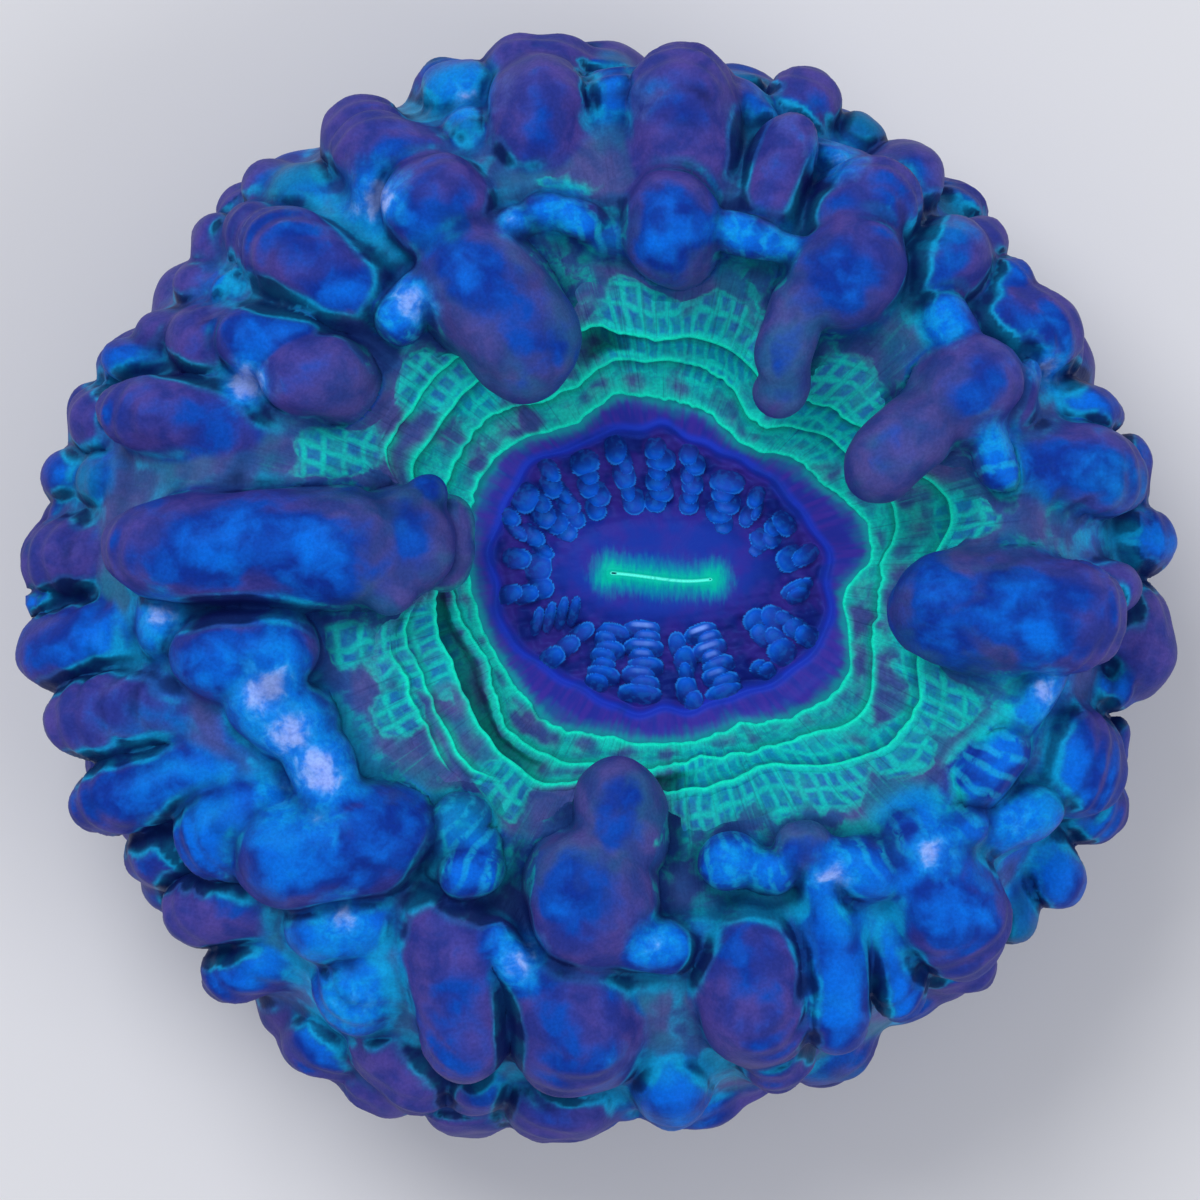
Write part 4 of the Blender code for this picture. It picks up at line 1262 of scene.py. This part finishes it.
# One flesh for the ledges, the ridges and the side, so that they run into each other.
def makeFleshPaint():
    paint = Paint("flesh", Roughness=0.5, Emission_Strength=0.22)
    place = paint.place()
    _, _, height = paint.split(place)
    fine = paint.streaks(90.0, 7.0)
    broad = paint.streaks(7.0, 6.0)
    patch = paint.noise(place, 2.2, 3.0, 0.5, 0.3)
    cloud = paint.noise(place, 5.5, 2.0, 0.45, 0.4)
    strand = paint.noise(place, 1.1, 3.0, 0.55, 0.5)
    grain = paint.noise(place, 0.25, 2.0, 0.6)
    ribs = paint.rungs(110, 14.0)
    swell, crown, fold, out, halo = paint.fields("swell", "crown", "fold", "out", "halo")
    blueness, paleness, azure, ladder = paint.fields("blueness", "paleness", "azure", "ladder")
    outer = out.step(5.0, 12.0)

    # grey mauve between the ridges, purple, navy and blue on them, bluer towards the tops partly as painted
    # light, and a painted sheen on the bluest crowns
    mauve = paint.blend(patch.step(0.3, 0.7), (50, 72, 134), (78, 80, 142))
    mauve = paint.blend((cloud + (broad - 0.5) * 0.8).step(0.42, 0.68) * 0.75, mauve, (30, 116, 148))
    purple = paint.blend(patch.step(0.32, 0.68), (42, 52, 134), (76, 66, 146))
    purple = paint.blend((1.0 - outer) * 0.55, purple, mauve)
    share = blueness * 0.9 + (cloud - 0.5) * 1.5 + (patch - 0.5) * 0.7 + azure * 0.1
    # Bluer towards the tops: partly the ridges' own blue cores, partly painted light on the tops.
    share = share + crown.step(0.55, 1.0) * 0.38
    navy = paint.blend(patch.step(0.35, 0.62), (14, 48, 144), (14, 70, 172))
    swollen = paint.blend(share.step(0.48, 0.85), purple, navy)
    swollen = paint.blend(share.step(0.85, 1.3) * 0.9, swollen, (8, 106, 222))
    # Painted sheen: a lighter blue on the crowns of the bluest bulges.
    swollen = paint.blend(share.step(1.3, 1.8) * 0.5, swollen, (30, 140, 240))
    paint.colour = paint.blend(swell.step(0.2, 0.6), mauve, swollen)

    # painted shade in tight folds of the outer belt, cyan and teal along the others
    lively = azure * 0.55 + paleness * 0.4 + (patch - 0.5) * 0.8 + (cloud - 0.5) * 0.6
    paint.lay(fold.step(0.05, 0.4) * 0.45, (26, 92, 156))
    wash = (lively + fold * 0.35).step(0.3, 1.0) * outer
    paint.lay(wash * 0.75, paint.blend(cloud.step(0.4, 0.6), (8, 100, 214), (12, 136, 208)))
    glint = (fold * 1.2 + (1.0 - swell) * 0.2 + lively * 0.4 + (strand - 0.5) * 0.3).step(0.38, 0.95)
    glint = glint * (patch + (cloud - 0.5)).step(0.36, 0.6) * outer.larger(strand.step(0.42, 0.62))
    paint.lay(glint * 0.7, paint.blend(outer, (12, 180, 172), (16, 166, 214)))
    # Painted shade: near black in the deepest folds of the outer belt.
    paint.lay((fold - lively * 0.45).step(0.42, 0.85) * outer * 0.8, (4, 12, 52))
    teal = (paint.field("tealness") * swell + (cloud - 0.5) * 0.8).step(0.3, 0.8)
    paint.lay(teal * 0.7, (12, 124, 160))

    # teal and green on the inner ledges, in patches and beside the lips
    inner = height.step(28.6, 27.0) * out.step(2.0, -0.5)
    green = paint.blend(strand.step(0.35, 0.65), (14, 150, 164), (8, 202, 182))
    lush = (ladder * 0.5 + halo * 0.6 + (broad - 0.5) * 1.8 + (patch - 0.5) * 1.6).step(-0.2, 0.4)
    paint.lay(inner * lush * 0.85, green)
    rim = halo * (1.0 - swell.step(0.1, 0.4))
    paint.lay(rim.step(0.12, 0.9) * broad.step(0.3, 0.5) * 0.85, (14, 208, 184))

    # ladder patches: soft cells of light, ribbed and outlined
    nearby = ladder * 1.25 + (patch - 0.5) * 1.0 - swell.step(0.1, 0.6)
    spot = nearby.step(0.22, 0.62)
    rows = (out * 3.8 + (cloud - 0.5) * 7.0).sine() * 0.5 + 0.5
    cell = paint.blend(strand.step(0.35, 0.6), (14, 160, 172), (16, 122, 182))
    paint.lay(spot * 0.75, cell)
    outline = nearby.step(0.28, 0.4) * nearby.step(0.54, 0.43)
    net = (ribs + (strand - 0.5) * 0.9).step(0.35, 1.1) * 0.8
    net = net.larger((rows + (strand - 0.5) * 0.9).step(0.6, 1.15)) * spot
    net = net.larger(outline * strand.step(0.38, 0.6) * 0.6)
    paint.lay(net * 0.7, (16, 220, 192))

    # bright outlines and ribs of the slim blue bulges, and strands between the ridges
    bright = blueness.step(0.62, 0.95)
    contour = swell.step(0.2, 0.42) * swell.step(0.8, 0.5) * (bright * 0.9 + lively * 0.35)
    contour = contour * ((patch + cloud - 0.5).step(0.38, 0.6) * 0.7 + outer * 0.3)
    paint.lay(contour * 0.85, paint.blend(outer, (16, 214, 196), (20, 164, 226)))
    ribbed = ribs.step(0.4, 1.0) * bright * swell.step(0.3, 0.6) * out.step(11.0, 7.0)
    ribbed = ribbed * strand.step(0.35, 0.55)
    paint.lay(ribbed * 0.45, (30, 190, 226))
    strands = (1.0 - swell) * (1.0 - outer * 0.6)
    paint.lay(fine.step(0.55, 0.75) * cloud.step(0.44, 0.6) * strands * 0.5, (36, 160, 164))
    paint.lay(fine.step(0.46, 0.28) * strands * 0.35, (34, 40, 98))

    # glowing spots
    glow = (paint.field("glow") + (patch - 0.5) * 0.8).step(0.25, 0.85)
    cyan = paint.blend(strand.step(0.35, 0.7), (8, 112, 222), (16, 156, 230))
    paint.lay(glow * 0.8, cyan)
    core = (paint.field("white") + (strand - 0.5) * 0.7 + (patch - 0.5) * 0.8).step(0.4, 1.1)
    paint.lay(core * 0.85, paint.blend(core.step(0.2, 0.8), (60, 144, 250), (160, 182, 255)))

    # painted shade on steep flanks, in creases and lower down the side, painted shadow in the gaps under the
    # lips, and bright lines on the lips
    # Painted shade: darker where the flesh turns steep.
    paint.lay(crown.step(0.75, 0.1) * swell * 0.45, (34, 24, 98))
    # Painted shade in the tight creases between bulges.
    paint.lay(paint.field("crease") * 0.75, (6, 18, 72))
    # Painted shade: darker and greyer lower down the side.
    paint.lay(height.step(20.0, 8.0) * 0.45, (40, 62, 118))
    # Painted shadow in the gaps under the lips.
    paint.lay(paint.field("gapShadow") * 0.75, (4, 38, 46))
    lipLine = paint.field("edge").step(0.2, 0.95) * (broad.step(0.25, 0.5) * 0.6 + 0.4)
    paint.lay(lipLine, (20, 234, 198))
    paint.lay(grain.step(0.3, 0.7) * 0.2, (6, 12, 60))
    normal = paint.bump(grain * 0.4 + fine * (1.0 - swell) + patch * 0.5, 0.5, 0.15 * mm)
    return paint.finish(normal, "Base Color", "Emission Color")


def makeFootPaint():
    paint = Paint("limestone", Roughness=0.85)
    place = paint.place()
    x, y, height = paint.split(place)
    grain = paint.noise(place, 0.8, 4.0, 0.6)
    blotch = paint.noise(place, 5.0, 3.0)
    away = (x * x + y * y) ** 0.5
    septa = (y.maths("ARCTAN2", x) * foot["ribs"]).sine() * 0.5 + 0.5
    shown = septa.step(0.55, 0.85) * away.step(3.0, 6.0) * height.step(0.3, 0.1)
    paint.colour = paint.blend(blotch.step(0.3, 0.7), (206, 198, 180), (176, 164, 146))
    paint.lay(grain.step(0.45, 0.7) * 0.4, (146, 136, 120))
    paint.lay(paint.field("groove") * 0.3, (120, 116, 108))
    paint.lay(shown * 0.55, (108, 100, 90))
    normal = paint.bump(grain, 0.6, 0.3 * mm)
    return paint.finish(normal, "Base Color")


print("oral disc")
dress(makeDisc(), makeDiscPaint())
fleshPaint = makeFleshPaint()
print("mantle")
dress(makeMantle(), fleshPaint)
print("swollen flesh")
for piece in makeFlesh():
    dress(piece, fleshPaint)
print("foot")
dress(makeFoot(), makeFootPaint())


studio = {"floor": 4.0, "viewWidth": 87.24, "viewHeight": 25.0, "cameraHeight": 600.0, "viewY": -0.73}


def makeFloor():
    deselectAll()
    bpy.ops.mesh.primitive_plane_add(size=studio["floor"])
    floor = bpy.context.object
    floor.name = "floor"
    paint = Paint("pale floor", Roughness=0.7)
    paint.shader.inputs["Base Color"].default_value = (0.82, 0.82, 0.84, 1.0)
    floor.data.materials.append(paint.material)


def makeLight(name, place, size, power):
    deselectAll()
    bpy.ops.object.light_add(type="AREA", location=place)
    lamp = bpy.context.object
    lamp.name = name
    lamp.data.shape = "DISK"
    lamp.data.size = size
    lamp.data.energy = power
    lamp.rotation_mode = "QUATERNION"
    lamp.rotation_quaternion = (Vector((0, 0, 0.02)) - Vector(place)).to_track_quat("-Z", "Y")


def makeWorld():
    world = bpy.data.worlds.new("studio")
    world.use_nodes = True
    world.node_tree.nodes["Background"].inputs["Color"].default_value = (0.93, 0.95, 1.0, 1.0)
    world.node_tree.nodes["Background"].inputs["Strength"].default_value = 0.45
    bpy.context.scene.world = world


def makeCamera():
    deselectAll()
    height = studio["cameraHeight"]
    bpy.ops.object.camera_add(location=(0.0, studio["viewY"] * mm, height * mm), rotation=(0.0, 0.0, 0.0))
    camera = bpy.context.object
    camera.data.sensor_width = 36.0
    camera.data.lens = 36.0 * (height - studio["viewHeight"]) / studio["viewWidth"]
    camera.data.clip_start = 0.01
    camera.data.clip_end = 10.0
    bpy.context.scene.camera = camera


print("studio")
makeFloor()
makeLight("key", (-0.3, 0.42, 0.75), 0.5, 3.8)
makeLight("fill", (0.5, -0.3, 0.6), 0.5, 1.6)
makeWorld()
makeCamera()
bpy.context.scene.view_settings.view_transform = "Standard"
